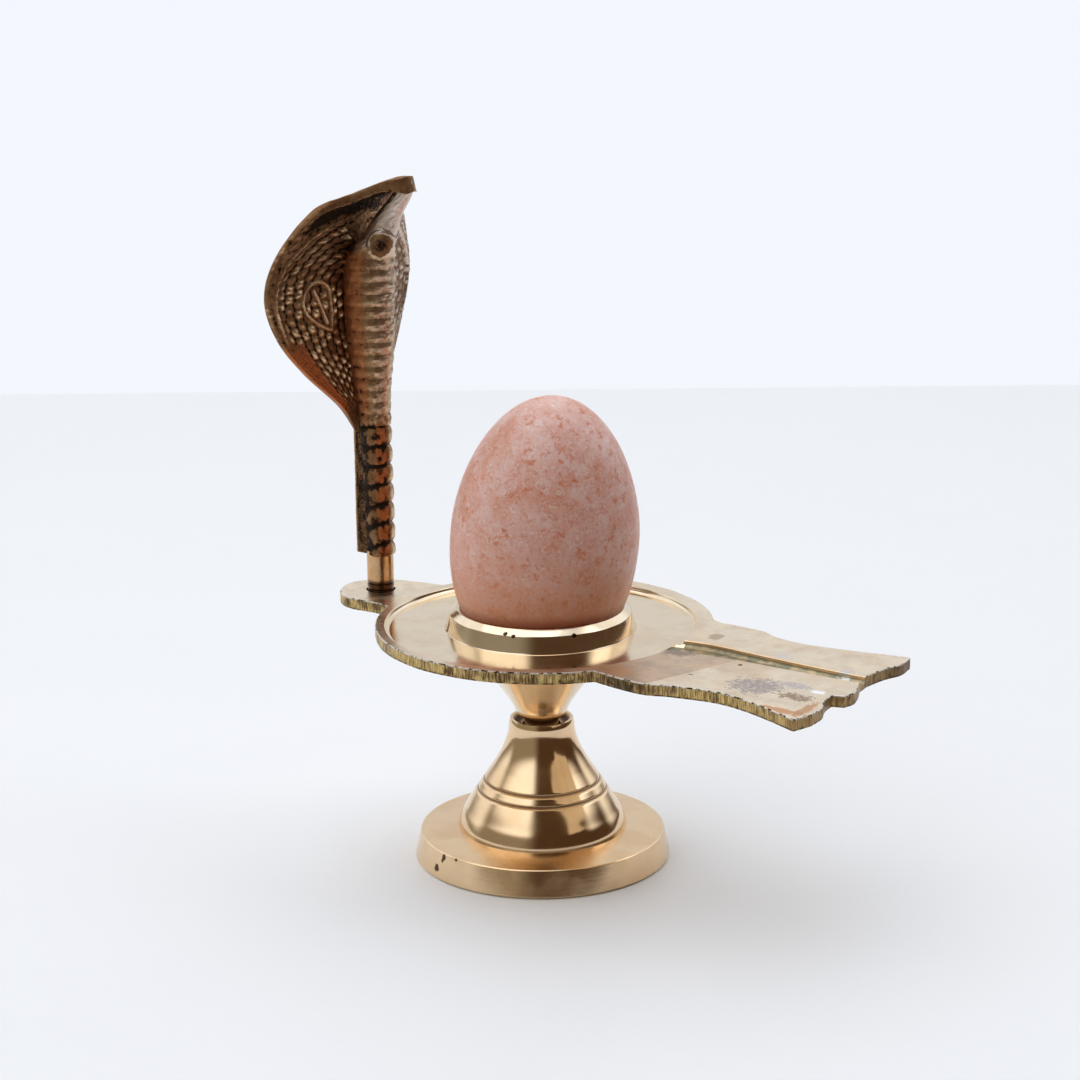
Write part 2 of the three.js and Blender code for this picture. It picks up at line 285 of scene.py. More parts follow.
# %% Group: spot
spot, given, result = shader_group(
    "spot",
    {
        "Vector": ("Vector", (0, 0, 0)),
        "Place": ("Vector", (0, 0, 0)),
        "Stretch": ("Vector", (1, 1, 1)),
        "Radius": ("Float", 1.0),
        "Rag": ("Float", 0.5),
    },
    {"Mask": "Float"},
)
apart = add_node(
    spot, "ShaderNodeVectorMath", {0: given["Vector"], 1: given["Place"]}, operation="SUBTRACT"
)
scaled = add_node(
    spot, "ShaderNodeVectorMath", {0: apart.outputs[0], 1: given["Stretch"]}, operation="MULTIPLY"
)
reach = add_node(spot, "ShaderNodeVectorMath", {0: scaled.outputs[0]}, operation="LENGTH").outputs["Value"]
share = calculate(spot, "DIVIDE", calculate(spot, "DIVIDE", reach, MM), given["Radius"])
unrest = calculate(spot, "SUBTRACT", noise_of(spot, given["Vector"], 0.9, 5.0, 0.7), 0.5)
ragged = calculate(spot, "MULTIPLY_ADD", unrest, product(spot, given["Rag"], 4.0), share)
spot.links.new(remapped(spot, ragged, 0.75, 1.1, 1.0, 0.0), result.inputs["Mask"])
print("group:", spot.name)


def spot_mask(tree, place, at, radius, rag, stretch=(1.0, 1.0, 1.0)):
    """One mark, with its place and its radius in millimetres."""
    metres = [side * MM for side in at]
    return use_group(
        tree, spot, "Mask", Vector=place, Place=metres, Stretch=stretch, Radius=radius, Rag=rag
    )


# %% [markdown]
# Brass is never one colour. Where it is clean it is pale gold, where it has aged it turns browner, and
# handling leaves dull, greyer films. The group mixes the three by two clouds of different sizes.

# %% Group: brass colour
brass_colour, given, result = shader_group(
    "brass colour",
    {
        "Vector": ("Vector", (0, 0, 0)),
        "Clean": ("Color", colour(0.82, 0.60, 0.37)),
        "Aged": ("Color", colour(0.64, 0.38, 0.17)),
        "Film": ("Color", colour(0.68, 0.57, 0.45)),
        "Age": ("Float", 0.3),
        "Dullness": ("Float", 0.3),
    },
    {"Color": "Color"},
)
age = remapped(brass_colour, noise_of(brass_colour, given["Vector"], 9.0, 6.0), 0.42, 0.68)
aged = mixed(
    brass_colour, product(brass_colour, age, given["Age"]), given["Clean"], given["Aged"]
)
film = remapped(brass_colour, noise_of(brass_colour, given["Vector"], 2.2, 8.0, 0.65), 0.45, 0.7)
filmed = mixed(
    brass_colour, product(brass_colour, film, given["Dullness"]), aged, given["Film"]
)
brass_colour.links.new(filmed, result.inputs["Color"])
print("group:", brass_colour.name)

# %% [markdown]
# A lathe tool leaves fine circles round the axis. Noise that reads only the distance from the axis and the
# height draws exactly such circles. A second, coarser noise makes some of them stronger.

# %% Group: turning lines
turning_lines, given, result = shader_group(
    "turning lines",
    {"Vector": ("Vector", (0, 0, 0)), "Pitch": ("Float", 0.3)},
    {"Height": "Float"},
)
x, y, z = axes_of(turning_lines, given["Vector"])
radius = axis_distance(turning_lines, x, y)
ring_place = add_node(turning_lines, "ShaderNodeCombineXYZ", {0: radius, 2: z})
fineness = calculate(turning_lines, "DIVIDE", 1 / MM, given["Pitch"])
circles = add_node(
    turning_lines, "ShaderNodeTexNoise", {"Vector": ring_place.outputs[0], "Scale": fineness, "Detail": 3.0}
)
turning_lines.links.new(circles.outputs[0], result.inputs["Height"])
print("group:", turning_lines.name)

# %% [markdown]
# Use leaves scratches that run in every direction. Stretched noise in two directions, kept only where it
# peaks, gives a web of short fine lines.

# %% Group: scratches
scratches, given, result = shader_group(
    "scratches", {"Vector": ("Vector", (0, 0, 0)), "Amount": ("Float", 1.0)}, {"Height": "Float"}
)
webs = []
for turn in (0.5, 2.0):
    along = add_node(
        scratches,
        "ShaderNodeMapping",
        {"Vector": given["Vector"], "Rotation": (0.2, 0.1, turn), "Scale": (0.08, 1.0, 1.0)},
    )
    lines = noise_of(scratches, along.outputs[0], 0.16, 2.0)
    webs.append(remapped(scratches, lines, 0.64, 0.72))
web = product(scratches, calculate(scratches, "ADD", *webs), given["Amount"])
scratches.links.new(web, result.inputs["Height"])
print("group:", scratches.name)


def lathe_marks(tree, place, pitch, amount, dirt_and_shade):
    """The height of turned and used metal: circles, cut by scratches, and lower where dirt lies and where
    shade is painted.
    """
    circles = use_group(tree, turning_lines, "Height", Vector=place, Pitch=pitch)
    web = use_group(tree, scratches, "Height", Vector=place, Amount=amount)
    return calculate(tree, "SUBTRACT", calculate(tree, "MULTIPLY_ADD", web, -0.4, circles), dirt_and_shade)



# %% [markdown]
# ## The metal shader
#
# Every brass finish ends in the same way: a Principled shader with full metalness, a colour, a roughness
# that varies over the surface, and a bump whose height is given in millimetres.

# %% Helper: a metal material
def new_material(name):
    material = bpy.data.materials.new(name)
    material.use_nodes = True
    tree = material.node_tree
    place = add_node(tree, "ShaderNodeTexCoord").outputs["Object"]
    return material, tree, place


def finish_metal(tree, base, roughness, height, depth):
    """Feeds the Principled shader. The height, 0 to 1, stands for that depth in millimetres."""
    shader = tree.nodes["Principled BSDF"]
    shader.inputs["Metallic"].default_value = 1.0
    bump = add_node(tree, "ShaderNodeBump", {"Height": height, "Distance": depth * MM, "Strength": 1.0})
    tree.links.new(base, shader.inputs["Base Color"])
    tree.links.new(roughness, shader.inputs["Roughness"])
    tree.links.new(bump.outputs[0], shader.inputs["Normal"])


# %% [markdown]
# ## Camera
#
# The photograph was taken with a long lens from a little above the plate. The place, the aim and the focal
# length were worked out from the circles of the foot, the basin and the collar, which all share one axis.

# %% Camera
CAMERA_PLACE = Vector((0.29174, -0.44704, 0.21068))
CAMERA_TURN = 33.128  # degrees about Z
CAMERA_PITCH = 15.307  # degrees down
CAMERA_ROLL = -0.516
FOCAL_LENGTH = 95.1
SENSOR = 36.0

lens = bpy.data.cameras.new("camera")
lens.lens = FOCAL_LENGTH
lens.sensor_width = SENSOR
camera = in_scene("camera", lens)
aim = Matrix.Rotation(math.radians(CAMERA_TURN), 4, "Z") @ Matrix.Rotation(
    math.radians(90 - CAMERA_PITCH), 4, "X"
)
camera.matrix_world = Matrix.Translation(CAMERA_PLACE) @ aim @ Matrix.Rotation(
    math.radians(CAMERA_ROLL), 4, "Z"
)
bpy.context.scene.camera = camera
print("camera is %.0f mm from the axis" % (CAMERA_PLACE.xy.length / MM))

# %% [markdown]
# ## Floor and light
#
# The object stands on a plain white board in soft daylight. Metal shows what is round it more than its own
# colour, so the surroundings matter: bright windows left and right of the camera, a darker room between
# and below them, and a white backdrop behind the object. All of this is painted on the world by direction,
# while the camera itself sees a plain pale background.

# %% Floor
FLOOR_SIDE = 0.55
FLOOR_FAR = 0.433
FLOOR_NEAR = 0.20

form = bmesh.new()
bmesh.ops.create_grid(form, x_segments=1, y_segments=1, size=1.0)
bmesh.ops.scale(form, verts=form.verts, vec=(FLOOR_SIDE, (FLOOR_FAR + FLOOR_NEAR) / 2, 1))
bmesh.ops.translate(form, verts=form.verts, vec=(0, (FLOOR_FAR - FLOOR_NEAR) / 2, 0))
bmesh.ops.rotate(form, verts=form.verts, matrix=Matrix.Rotation(math.radians(CAMERA_TURN), 3, "Z"))
floor = in_scene("floor", mesh_of(form, "floor"))
board, tree, place = new_material("white board")
shader = tree.nodes["Principled BSDF"]
shade = mixed(
    tree,
    noise_of(tree, place, 60.0, 3.0),
    colour(0.89, 0.90, 0.925),
    colour(0.92, 0.925, 0.945),
)
tree.links.new(shade, shader.inputs["Base Color"])
shader.inputs["Roughness"].default_value = 0.5
grains = noise_of(tree, place, 2.8, 2.0)
bump = add_node(tree, "ShaderNodeBump", {"Height": grains, "Distance": 0.1 * MM})
tree.links.new(bump.outputs[0], shader.inputs["Normal"])
floor.data.materials.append(board)
print("floor depth", FLOOR_FAR + FLOOR_NEAR)

# %% [markdown]
# The room is mixed from dark to light: first the low shade, then the wall behind the object, the ceiling,
# and at last each window with soft borders.

# %% World: plain for the camera, a daylit room for the reflections
BACKDROP = colour(0.90, 0.93, 0.99)
ROOM_DARK = colour(0.085, 0.050, 0.028)
ROOM_LOW_LEFT = colour(0.30, 0.27, 0.21)
ROOM_WALL = colour(0.76, 0.775, 0.80)
ROOM_WALL_TOP = colour(1.45, 1.50, 1.58)
ROOM_CEILING = colour(1.05, 1.10, 1.16)
# Where each part of the room starts and is full, in degrees round the object or over the horizon.
WALL_STARTS = (135, 155)
WALL_TOP_STARTS = (30, 44)
CEILING_STARTS = (55, 72)
LEFT_STARTS = (-4, -30)
WINDOW_SOFT = 8  # the soft border of a window, in degrees
CAMERA_SIDE = math.radians(CAMERA_TURN - 90)  # direction from the object to the camera, from +X
# Windows as seen from the object: degrees to the right of the camera, degrees over the horizon, brightness.
WINDOWS = [
    (-95, -20, 29, 62, 1.45),
    (76, 112, 27, 62, 1.7),
    (-150, -100, 8, 62, 1.15),
    (112, 150, 8, 62, 1.15),
]



def degrees(tree, value, low, high, low_out=0.0, high_out=1.0):
    """A smooth step of an angle, with its limits in degrees."""
    return remapped(tree, value, math.radians(low), math.radians(high), low_out, high_out)


world = bpy.data.worlds.new("daylit room")
world.use_nodes = True
bpy.context.scene.world = world
tree = world.node_tree
direction = add_node(tree, "ShaderNodeTexCoord").outputs["Generated"]
east, north, up = axes_of(tree, direction)
heading = calculate(tree, "ARCTAN2", north, east)
from_camera = calculate(tree, "SUBTRACT", heading, CAMERA_SIDE)
wrapped = calculate(tree, "WRAP", from_camera, math.pi, -math.pi)
rise = calculate(tree, "ARCSINE", up)
behind = degrees(tree, calculate(tree, "ABSOLUTE", wrapped), *WALL_STARTS)
overhead = degrees(tree, rise, *CEILING_STARTS)
low_left = degrees(tree, wrapped, *LEFT_STARTS)
light = mixed(tree, low_left, ROOM_DARK, ROOM_LOW_LEFT)
wall_top = degrees(tree, rise, *WALL_TOP_STARTS)
light = mixed(tree, behind, light, mixed(tree, wall_top, ROOM_WALL, ROOM_WALL_TOP))
light = mixed(tree, overhead, light, ROOM_CEILING)
for left, right, bottom, top, strength in WINDOWS:
    window = product(
        tree,
        degrees(tree, wrapped, left - WINDOW_SOFT, left + WINDOW_SOFT),
        degrees(tree, wrapped, right - WINDOW_SOFT, right + WINDOW_SOFT, 1.0, 0.0),
        degrees(tree, rise, bottom - WINDOW_SOFT, bottom + WINDOW_SOFT),
        degrees(tree, rise, top - WINDOW_SOFT, top + WINDOW_SOFT, 1.0, 0.0),
    )
    light = mixed(tree, window, light, colour(0.97 * strength, strength, 1.04 * strength))
ray = add_node(tree, "ShaderNodeLightPath")
seen = mixed(tree, ray.outputs["Is Camera Ray"], light, BACKDROP)
background = tree.nodes["Background"]
tree.links.new(seen, background.inputs["Color"])
background.inputs["Strength"].default_value = 1.0
print(len(WINDOWS), "windows")


# %% [markdown]
# One large soft lamp above and to the left gives the pale shadow to the right of the foot, and shapes the
# stone, which is lighter at its top.

# %% Lamp
def soft_lamp(name, place, size, power):
    lamp = bpy.data.lights.new(name, "AREA")
    lamp.shape = "DISK"
    lamp.size = size
    lamp.energy = power
    holder = in_scene(name, lamp)
    holder.location = place
    holder.rotation_euler = (-Vector(place)).to_track_quat("-Z", "Y").to_euler()


soft_lamp("overhead softbox", (-0.15, -0.05, 0.75), 0.8, 1.0)
bpy.context.scene.view_settings.view_transform = "Standard"

# %% [markdown]
# ## The stone
#
# The lingam is one polished egg, about 53 mm high, drawn out a little at the top. An icosphere has even
# faces all over, with no pole to pinch the highlights, so each of its points is moved on to the egg: the
# upper half is stretched and the lower half is blunter. A whisper of noise takes away the perfection of a
# machine-made solid.

# %% Stone form
STONE_RADIUS = 18.37
STONE_CROWN = 27.4
STONE_KEEL = 26.0
CROWN_POWER = 1.12
KEEL_POWER = 0.86
STONE_HEIGHT = 65.5
STONE_LEAN = math.radians(5.5)
STONE_LEAN_DIRECTION = math.radians(55.5)
STONE_SHIFT = 1.03


def egg(subdivisions, larger=0.0):
    """The stone in its place. A coarser and slightly larger one later cuts its seat."""
    form = bmesh.new()
    bmesh.ops.create_icosphere(form, subdivisions=subdivisions, radius=1.0)
    radius = STONE_RADIUS + larger
    for point in form.verts:
        rise = max(-1.0, min(1.0, point.co.z))
        if rise > 0:
            height = STONE_CROWN * rise ** CROWN_POWER
        else:
            height = -STONE_KEEL * (-rise) ** KEEL_POWER
        unrest = 1 + 0.003 * noise.noise(point.co * 2.5)
        point.co = Vector((radius * point.co.x * unrest, radius * point.co.y * unrest, height))
    lean_way = Vector((math.cos(STONE_LEAN_DIRECTION), math.sin(STONE_LEAN_DIRECTION), 0))
    hinge = Vector((-lean_way.y, lean_way.x, 0))
    bmesh.ops.rotate(form, verts=form.verts, matrix=Matrix.Rotation(STONE_LEAN, 3, hinge))
    bmesh.ops.translate(form, verts=form.verts, vec=lean_way * STONE_SHIFT + Vector((0, 0, STONE_HEIGHT)))
    return form


stone_mesh = mesh_of(egg(7), "lingam")
print("stone faces:", len(stone_mesh.polygons))

# %% [markdown]
# The stone is a mass of small crystals: milky white, salmon and orange ones, with clouds where one colour
# wins. Crystals are Voronoi cells with a random value each. Two sizes of them are laid over two sizes of
# cloud. A little light goes under the surface, and the polish is a clear semi-gloss.

# %% Stone finish
stone_finish, tree, place = new_material("polished stone")
warp = add_node(tree, "ShaderNodeTexNoise", {"Vector": place, "Scale": 1 / (1.5 * MM), "Detail": 3.0})
WARP = (0.0009, 0.0009, 0.0009)
nudge = add_node(tree, "ShaderNodeVectorMath", {0: warp.outputs["Color"], 1: WARP}, operation="MULTIPLY")
uneven = add_node(tree, "ShaderNodeVectorMath", {0: place, 1: nudge.outputs[0]}, operation="ADD").outputs[0]
haze = patch_mask(tree, place, 8.0, 0.36, 0.66)
salmon = mixed(tree, haze, colour(0.84, 0.49, 0.41), colour(0.76, 0.35, 0.24))
milk = patch_mask(tree, uneven, 3.0, 0.42, 0.70)
salmon = mixed(tree, product(tree, milk, 0.6), salmon, colour(0.88, 0.63, 0.58))
ember_cloud = patch_mask(tree, place, 7.0, 0.38, 0.60)
ember = patch_mask(tree, uneven, 1.7, 0.52, 0.66)
ember_share = product(tree, ember, calculate(tree, "MULTIPLY_ADD", ember_cloud, 0.7, 0.2))
body = mixed(tree, ember_share, salmon, colour(0.70, 0.21, 0.085))
grain = add_node(tree, "ShaderNodeTexVoronoi", {"Vector": uneven, "Scale": 1 / (0.42 * MM)})
random = add_node(tree, "ShaderNodeSeparateColor", {0: grain.outputs["Color"]}).outputs[0]
milky = product(tree, remapped(tree, random, 0.5, 1.0), 0.30)
body = mixed(tree, milky, body, colour(0.84, 0.66, 0.62))
deep = product(tree, remapped(tree, random, 0.30, 0.0), 0.28)
body = mixed(tree, deep, body, colour(0.56, 0.17, 0.08))
stroke_noise = noise_of(tree, uneven, 1.3, 3.0, 0.6)
stroke_line = calculate(tree, "ABSOLUTE", calculate(tree, "SUBTRACT", stroke_noise, 0.5))
stroke_gate = patch_mask(tree, place, 2.0, 0.46, 0.58)
stroke = product(tree, remapped(tree, stroke_line, 0.0, 0.03, 0.7, 0.0), stroke_gate)
body = mixed(tree, stroke, body, colour(0.94, 0.84, 0.83))
x, y, z = axes_of(tree, place)
# Painted shade: the stone's lower part is painted darker and warmer, a painted reflection of the brass
# below.
foot_shade = between(tree, z, 52.0, 72.0, 0.55, 0.0)
body = mixed(tree, foot_shade, body, colour(0.74, 0.28, 0.12))
seat_shade = between(tree, z, COLLAR_LIP, COLLAR_LIP + 3, 0.8, 0.0)
body = mixed(tree, seat_shade, body, colour(0.36, 0.08, 0.03))
shader = tree.nodes["Principled BSDF"]
tree.links.new(body, shader.inputs["Base Color"])
shader.inputs["Subsurface Weight"].default_value = 0.25
shader.inputs["Subsurface Radius"].default_value = (1.0, 0.45, 0.3)
shader.inputs["Subsurface Scale"].default_value = 0.0015
dull = noise_of(tree, place, 1.1, 5.0)
tree.links.new(remapped(tree, dull, 0.3, 0.7, 0.30, 0.44), shader.inputs["Roughness"])
pits = patch_mask(tree, uneven, 0.5, 0.66, 0.74)
bump = add_node(
    tree, "ShaderNodeBump", {"Height": calculate(tree, "SUBTRACT", 1.0, pits), "Distance": 0.03 * MM}
)
tree.links.new(bump.outputs[0], shader.inputs["Normal"])
make_piece("lingam", stone_mesh, "lingam_stone", [stone_finish])


# %% [markdown]
# ## Turned forms
#
# The foot, the bowl and the collar were made on a lathe, and `bmesh.ops.spin` is Blender's lathe: it turns
# a profile once round the axis. The first and last points lie on the axis, so doubles are merged there, and
# then the faces are turned outwards.

# %% Helper: spin a profile
def turned(profile, steps=TURN_STEPS):
    """A closed turned form from [radius, height] points that start and end on the axis."""
    form = bmesh.new()
    line = [form.verts.new((radius, 0, height)) for radius, height in profile]
    edges = [form.edges.new(pair) for pair in zip(line, line[1:])]
    bmesh.ops.spin(
        form,
        geom=line + edges,
        cent=(0, 0, 0),
        axis=(0, 0, 1),
        dvec=(0, 0, 0),
        angle=2 * math.pi,
        steps=steps,
        use_merge=True,
    )
    bmesh.ops.remove_doubles(form, verts=form.verts, dist=0.0005)
    bmesh.ops.recalc_face_normals(form, faces=form.faces)
    return form


def bevelled(form, edges, width, segments):
    bmesh.ops.bevel(
        form,
        geom=edges,
        offset=width,
        offset_type="OFFSET",
        segments=segments,
        profile=0.5,
        affect="EDGES",
        clamp_overlap=True,
        material=-1,
    )


def soften(form, width, sharper_than=25.0):
    """Bevels every edge that is sharper than an angle, as a polishing wheel would."""
    limit = math.radians(sharper_than)
    edges = [edge for edge in form.edges if edge.is_manifold and edge.calc_face_angle() > limit]
    bevelled(form, edges, width, 3)


# %% [markdown]
# ## The foot
#
# A bell rises from a round disc whose side flares a little. Two lines are cut into the bell. Its top is a
# ring with a dark hollow inside, where the stud of the plate goes in. The bell's profile is sampled finely,
# and the two lines are dips in it, so that they catch light like real grooves.

# %% Foot form
BELL_PLACES = [
    (16.7, 6.2),
    (16.5, 7.4),
    (15.9, 9.0),
    (15.1, 10.4),
    (13.85, 12.5),
    (11.75, 15.7),
    (9.45, 19.2),
    (7.75, 22.3),
    (6.7, 25.4),
    (BELL_TOP_RADIUS, 27.6),
]
LINE_DEPTH = 0.35
LINE_WIDTH = 0.2
RECESS_DEPTH = 1.2
LAND_RADIUS = 8.0


def bell_profile():
    line = []
    for point in smooth_line(BELL_PLACES, 20):
        dip = sum(math.exp(-(((point.y - height) / LINE_WIDTH) ** 2)) for height in BELL_LINES)
        line.append((point.x - LINE_DEPTH * dip, point.y))
    return line


foot_form = turned(
    [
        (0, 0),
        (LAND_RADIUS, 0),
        (LAND_RADIUS + 1, RECESS_DEPTH),
        (FOOT_RADIUS - 4.5, RECESS_DEPTH),
        (FOOT_RADIUS - 3.5, 0),
        (FOOT_RADIUS - 0.55, 0),
        (FOOT_RADIUS, 0.5),
        (FOOT_TOP_RADIUS + 0.1, FOOT_RIM_HEIGHT - 0.2),
        (FOOT_TOP_RADIUS - 0.1, FOOT_RIM_HEIGHT),
        (20.0, 5.95),
        *bell_profile(),
        (BELL_TOP_RADIUS - 0.25, BELL_TOP),
        (BELL_TOP_RADIUS - 0.8, BELL_TOP),
        (4.9, BELL_TOP - 0.9),
        (STUD_RADIUS + 0.35, BELL_TOP - 1.3),
        (STUD_RADIUS + 0.35, STUD_BOTTOM - 0.3),
        (0, STUD_BOTTOM - 0.3),
    ]
)
soften(foot_form, 0.12)
foot_mesh = mesh_of(foot_form, "foot")

# %% [markdown]
# The foot is polished brass. The disc's top is a little duller than the bell, and a few pits near the edge
# hold old dirt. The hollow round the stud is painted dark as painted shade, the bell's two cut lines are
# painted dark, and the chamfer at the bottom carries a painted highlight.

# %% Foot finish
FOOT_PITS = [  # place in millimetres and radius
    ((-9.8, -22.8, 2.3), 0.75),
    ((-8.0, -23.1, 4.9), 0.6),
    ((-8.4, -23.2, 4.0), 0.45),
    ((-4.6, -23.9, 5.4), 0.4),
    ((8.6, -23.2, 4.3), 0.3),
]
foot_finish, tree, place = new_material("turned brass")
base = use_group(tree, brass_colour, "Color", Vector=place, Age=0.35, Dullness=0.15)
x, y, z = axes_of(tree, place)
radius = axis_distance(tree, x, y)
# Painted shade: the hollow round the stud is painted dark.
dirt_and_shade = product(tree, between(tree, radius, 5.0, 6.0, 1.0, 0.0), between(tree, z, 27.0, 27.5))
for pit, size in FOOT_PITS:
    dirt_and_shade = calculate(tree, "MAXIMUM", dirt_and_shade, spot_mask(tree, place, pit, size, 0.8))
# The bell's two cut lines are painted dark.
for height in BELL_LINES:
    away = calculate(tree, "ABSOLUTE", calculate(tree, "SUBTRACT", z, height * MM))
    inside = between(tree, away, 0.05, 0.3, 0.75, 0.0)
    dirt_and_shade = calculate(tree, "MAXIMUM", dirt_and_shade, inside)
base = mixed(tree, dirt_and_shade, base, colour(0.13, 0.065, 0.035))
# Painted highlight: the chamfer at the bottom of the disc is painted a bright gold.
chamfer_highlight = between(tree, z, 0.3, 0.6, 0.9, 0.0)
base = mixed(tree, chamfer_highlight, base, colour(1.0, 0.86, 0.62))
roughness = film_roughness(tree, place, 6.0, 0.06, 0.11)
disc_top = between(tree, z, 5.3, 5.7)
disc_top = product(tree, disc_top, between(tree, z, 6.6, 6.1))
roughness = calculate(tree, "MULTIPLY_ADD", disc_top, 0.12, roughness)
roughness = calculate(tree, "MULTIPLY_ADD", dirt_and_shade, 0.4, roughness)
finish_metal(tree, base, roughness, lathe_marks(tree, place, 0.35, 0.5, dirt_and_shade), 0.0025)
make_piece("foot", foot_mesh, "stand_foot", [foot_finish])

# %% [markdown]
# ## The plate
#
# The plate's outline was sawn and filed by hand, so it is a smooth line with a small unrest in it: slow
# waves of the hand and quick marks of the saw. The flat outline is one face. Extruding it gives the slab,
# and the marks become upright ridges on its side, as on the real edge.

# %% Plate outline
SAW_STEP = 0.42
SAW_MARK = 0.07
HAND_WAVE = 0.10
SLAB_BEVEL = 0.2


def plate_outline():
    def arc(start, end):
        steps = int(abs(end - start))
        turns = [math.radians(start + (end - start) * i / steps) for i in range(steps + 1)]
        return [PLATE_CENTRE + PLATE_RADIUS * Vector((math.cos(a), math.sin(a))) for a in turns]

    tab = smooth_line(
        [
            (-36.0, 10.5),
            (-41.8, 9.2),
            (-46.6, 5.9),
            (-48.3, 2.2),
            (-46.9, -2.6),
            (-44.2, -5.3),
            (-41.0, -6.4),
            (-37.0, -6.3),
            (-34.4, -6.5),
        ],
        8,
    )
    near_side = smooth_line(
        [(29.0, -21.9), (36.5, -22.9), (42.5, -21.3), (51.5, -20.2), (60.0, -22.3), (70.0, -26.6)], 8
    )
    lobes = [
        *smooth_line([(71.3, -22.5), (71.2, -18.2), (69.9, -14.4), (69.4, -11.0)], 8),
        *smooth_line([(71.6, -10.3), (72.2, -7.6), (71.2, -3.9), (70.0, -1.0)], 8),
        *smooth_line([(69.8, 2.5), (70.6, 7.6), (72.1, 12.0), (71.7, 16.7)], 8),
    ]
    far_side = [
        *smooth_line([(61.0, 14.8), (51.0, 13.8), (43.8, 15.0)], 8),
        *smooth_line([(40.8, 16.9), (35.0, 17.6), (31.0, 17.6)], 8),
    ]
    return [*arc(33, 161.5), *tab, *arc(193.5, 319), *near_side, *lobes, *far_side]


def evenly(points, step):
    """The same closed outline with its points one step apart."""
    spaced = []
    left = 0.0
    for start, end in zip(points, points[1:] + points[:1]):
        length = (end - start).length
        at = left
        while at < length:
            spaced.append(start.lerp(end, at / length))
            at += step
        left = at - length
    return spaced


def sawn(points):
    """Moves each point of an outline in or out a little, as saw and file did."""
    moved = []
    for i, point in enumerate(points):
        along = (points[(i + 1) % len(points)] - points[i - 1]).normalized()
        out = Vector((along.y, -along.x))
        mark = SAW_MARK * noise.noise(Vector((i * SAW_STEP / 0.8, 3.1, 0)))
        wave = HAND_WAVE * noise.noise(Vector((i * SAW_STEP / 5.0, 7.7, 0)))
        moved.append(point + out * (mark + wave))
    return moved


outline = sawn(evenly(plate_outline(), SAW_STEP))
print("outline points:", len(outline))

# %% [markdown]
# The slab's edges are bevelled before anything is cut into it. Then the basin, the seat for the stone, the
# channel and the hole for the cobra's pin are cut, and the turned bowl with its collar is joined on, with
# Boolean modifiers that are applied at once. Each cutter has its own small roundings, so that no edge of
# the result is knife sharp.


# %% Slab and cutters
def slab():
    form = bmesh.new()
    base = form.faces.new([form.verts.new((p.x, p.y, PLATE_BOTTOM)) for p in outline])
    raised = bmesh.ops.extrude_face_region(form, geom=[base])["geom"]
    top = [item for item in raised if isinstance(item, bmesh.types.BMVert)]
    bmesh.ops.translate(form, verts=top, vec=(0, 0, PLATE_TOP - PLATE_BOTTOM))
    bmesh.ops.recalc_face_normals(form, faces=form.faces)
    rims = [edge for edge in form.edges if abs(edge.verts[0].co.z - edge.verts[1].co.z) < 0.01]
    bevelled(form, rims, SLAB_BEVEL, 2)
    return form


def basin_cutter():
    cove = [
        (BASIN_RADIUS - 0.9 + 0.85 * math.sin(a), BASIN_FLOOR + 0.85 * (1 - math.cos(a)))
        for a in [math.radians(10 * k) for k in range(8)]
    ]
    return turned(
        [
            (0, BASIN_FLOOR),
            *cove,
            (BASIN_RADIUS - 0.05, PLATE_TOP - 0.2),
            (BASIN_RADIUS + 0.05, PLATE_TOP - 0.05),
            (BASIN_RADIUS + 0.3, PLATE_TOP + 0.02),
            (BASIN_RADIUS + 0.3, PLATE_TOP + 2),
            (0, PLATE_TOP + 2),
        ]
    )


def bowl_and_collar():
    bowl = smooth_line(
        [(BOWL_FOOT_RADIUS, BOWL_FOOT), (5.6, 31.2), (6.8, 33.2), (8.9, 36.1), (12.4, 40.2), (17.2, 46.0)], 8
    )
    return turned(
        [
            (0, STUD_BOTTOM),
            (STUD_RADIUS, STUD_BOTTOM),
            (STUD_RADIUS, BOWL_FOOT - 0.1),
            (BOWL_FOOT_RADIUS - 0.3, BOWL_FOOT - 0.1),
            *[(p.x, p.y) for p in bowl],
            (COLLAR_FOOT_RADIUS + 0.4, BASIN_FLOOR - 0.3),
            (COLLAR_FOOT_RADIUS + 0.22, BASIN_FLOOR + 0.05),
            (COLLAR_FOOT_RADIUS + 0.04, BASIN_FLOOR + 0.25),
            (COLLAR_TOP_RADIUS + 0.06, COLLAR_EDGE - 0.15),
            (COLLAR_TOP_RADIUS - 0.06, COLLAR_EDGE),
            (SEAT_RADIUS + 1.25, COLLAR_LIP - 0.08),
            (SEAT_RADIUS + 1.1, COLLAR_LIP - 0.02),
            (SEAT_RADIUS, COLLAR_LIP),
            (0, COLLAR_LIP),
        ]
    )


def seat_cutter():
    return turned(
        [
            (0, BOWL_FLOOR),
            (6.0, BOWL_FLOOR),
            (10.5, 41.2),
            (13.4, 44.2),
            (14.8, 47.2),
            (SEAT_RADIUS, 50.2),
            (SEAT_RADIUS, COLLAR_LIP + 1),
            (0, COLLAR_LIP + 1),
        ]
    )


CHANNEL_ROUNDING = 0.9
CHANNEL_NEAR = [(28.6, -2.2), (33.0, -1.4), (38.0, -0.9), (45.0, -0.6), (60.0, -0.8), (75.0, -1.0)]
CHANNEL_FAR = [(75.0, 0.4), (60.0, 1.2), (48.0, 2.2), (38.0, 3.3), (33.0, 3.3), (28.6, 2.6)]
CHANNEL_NEAR_POINTS = (len(CHANNEL_NEAR) - 1) * 8 + 1


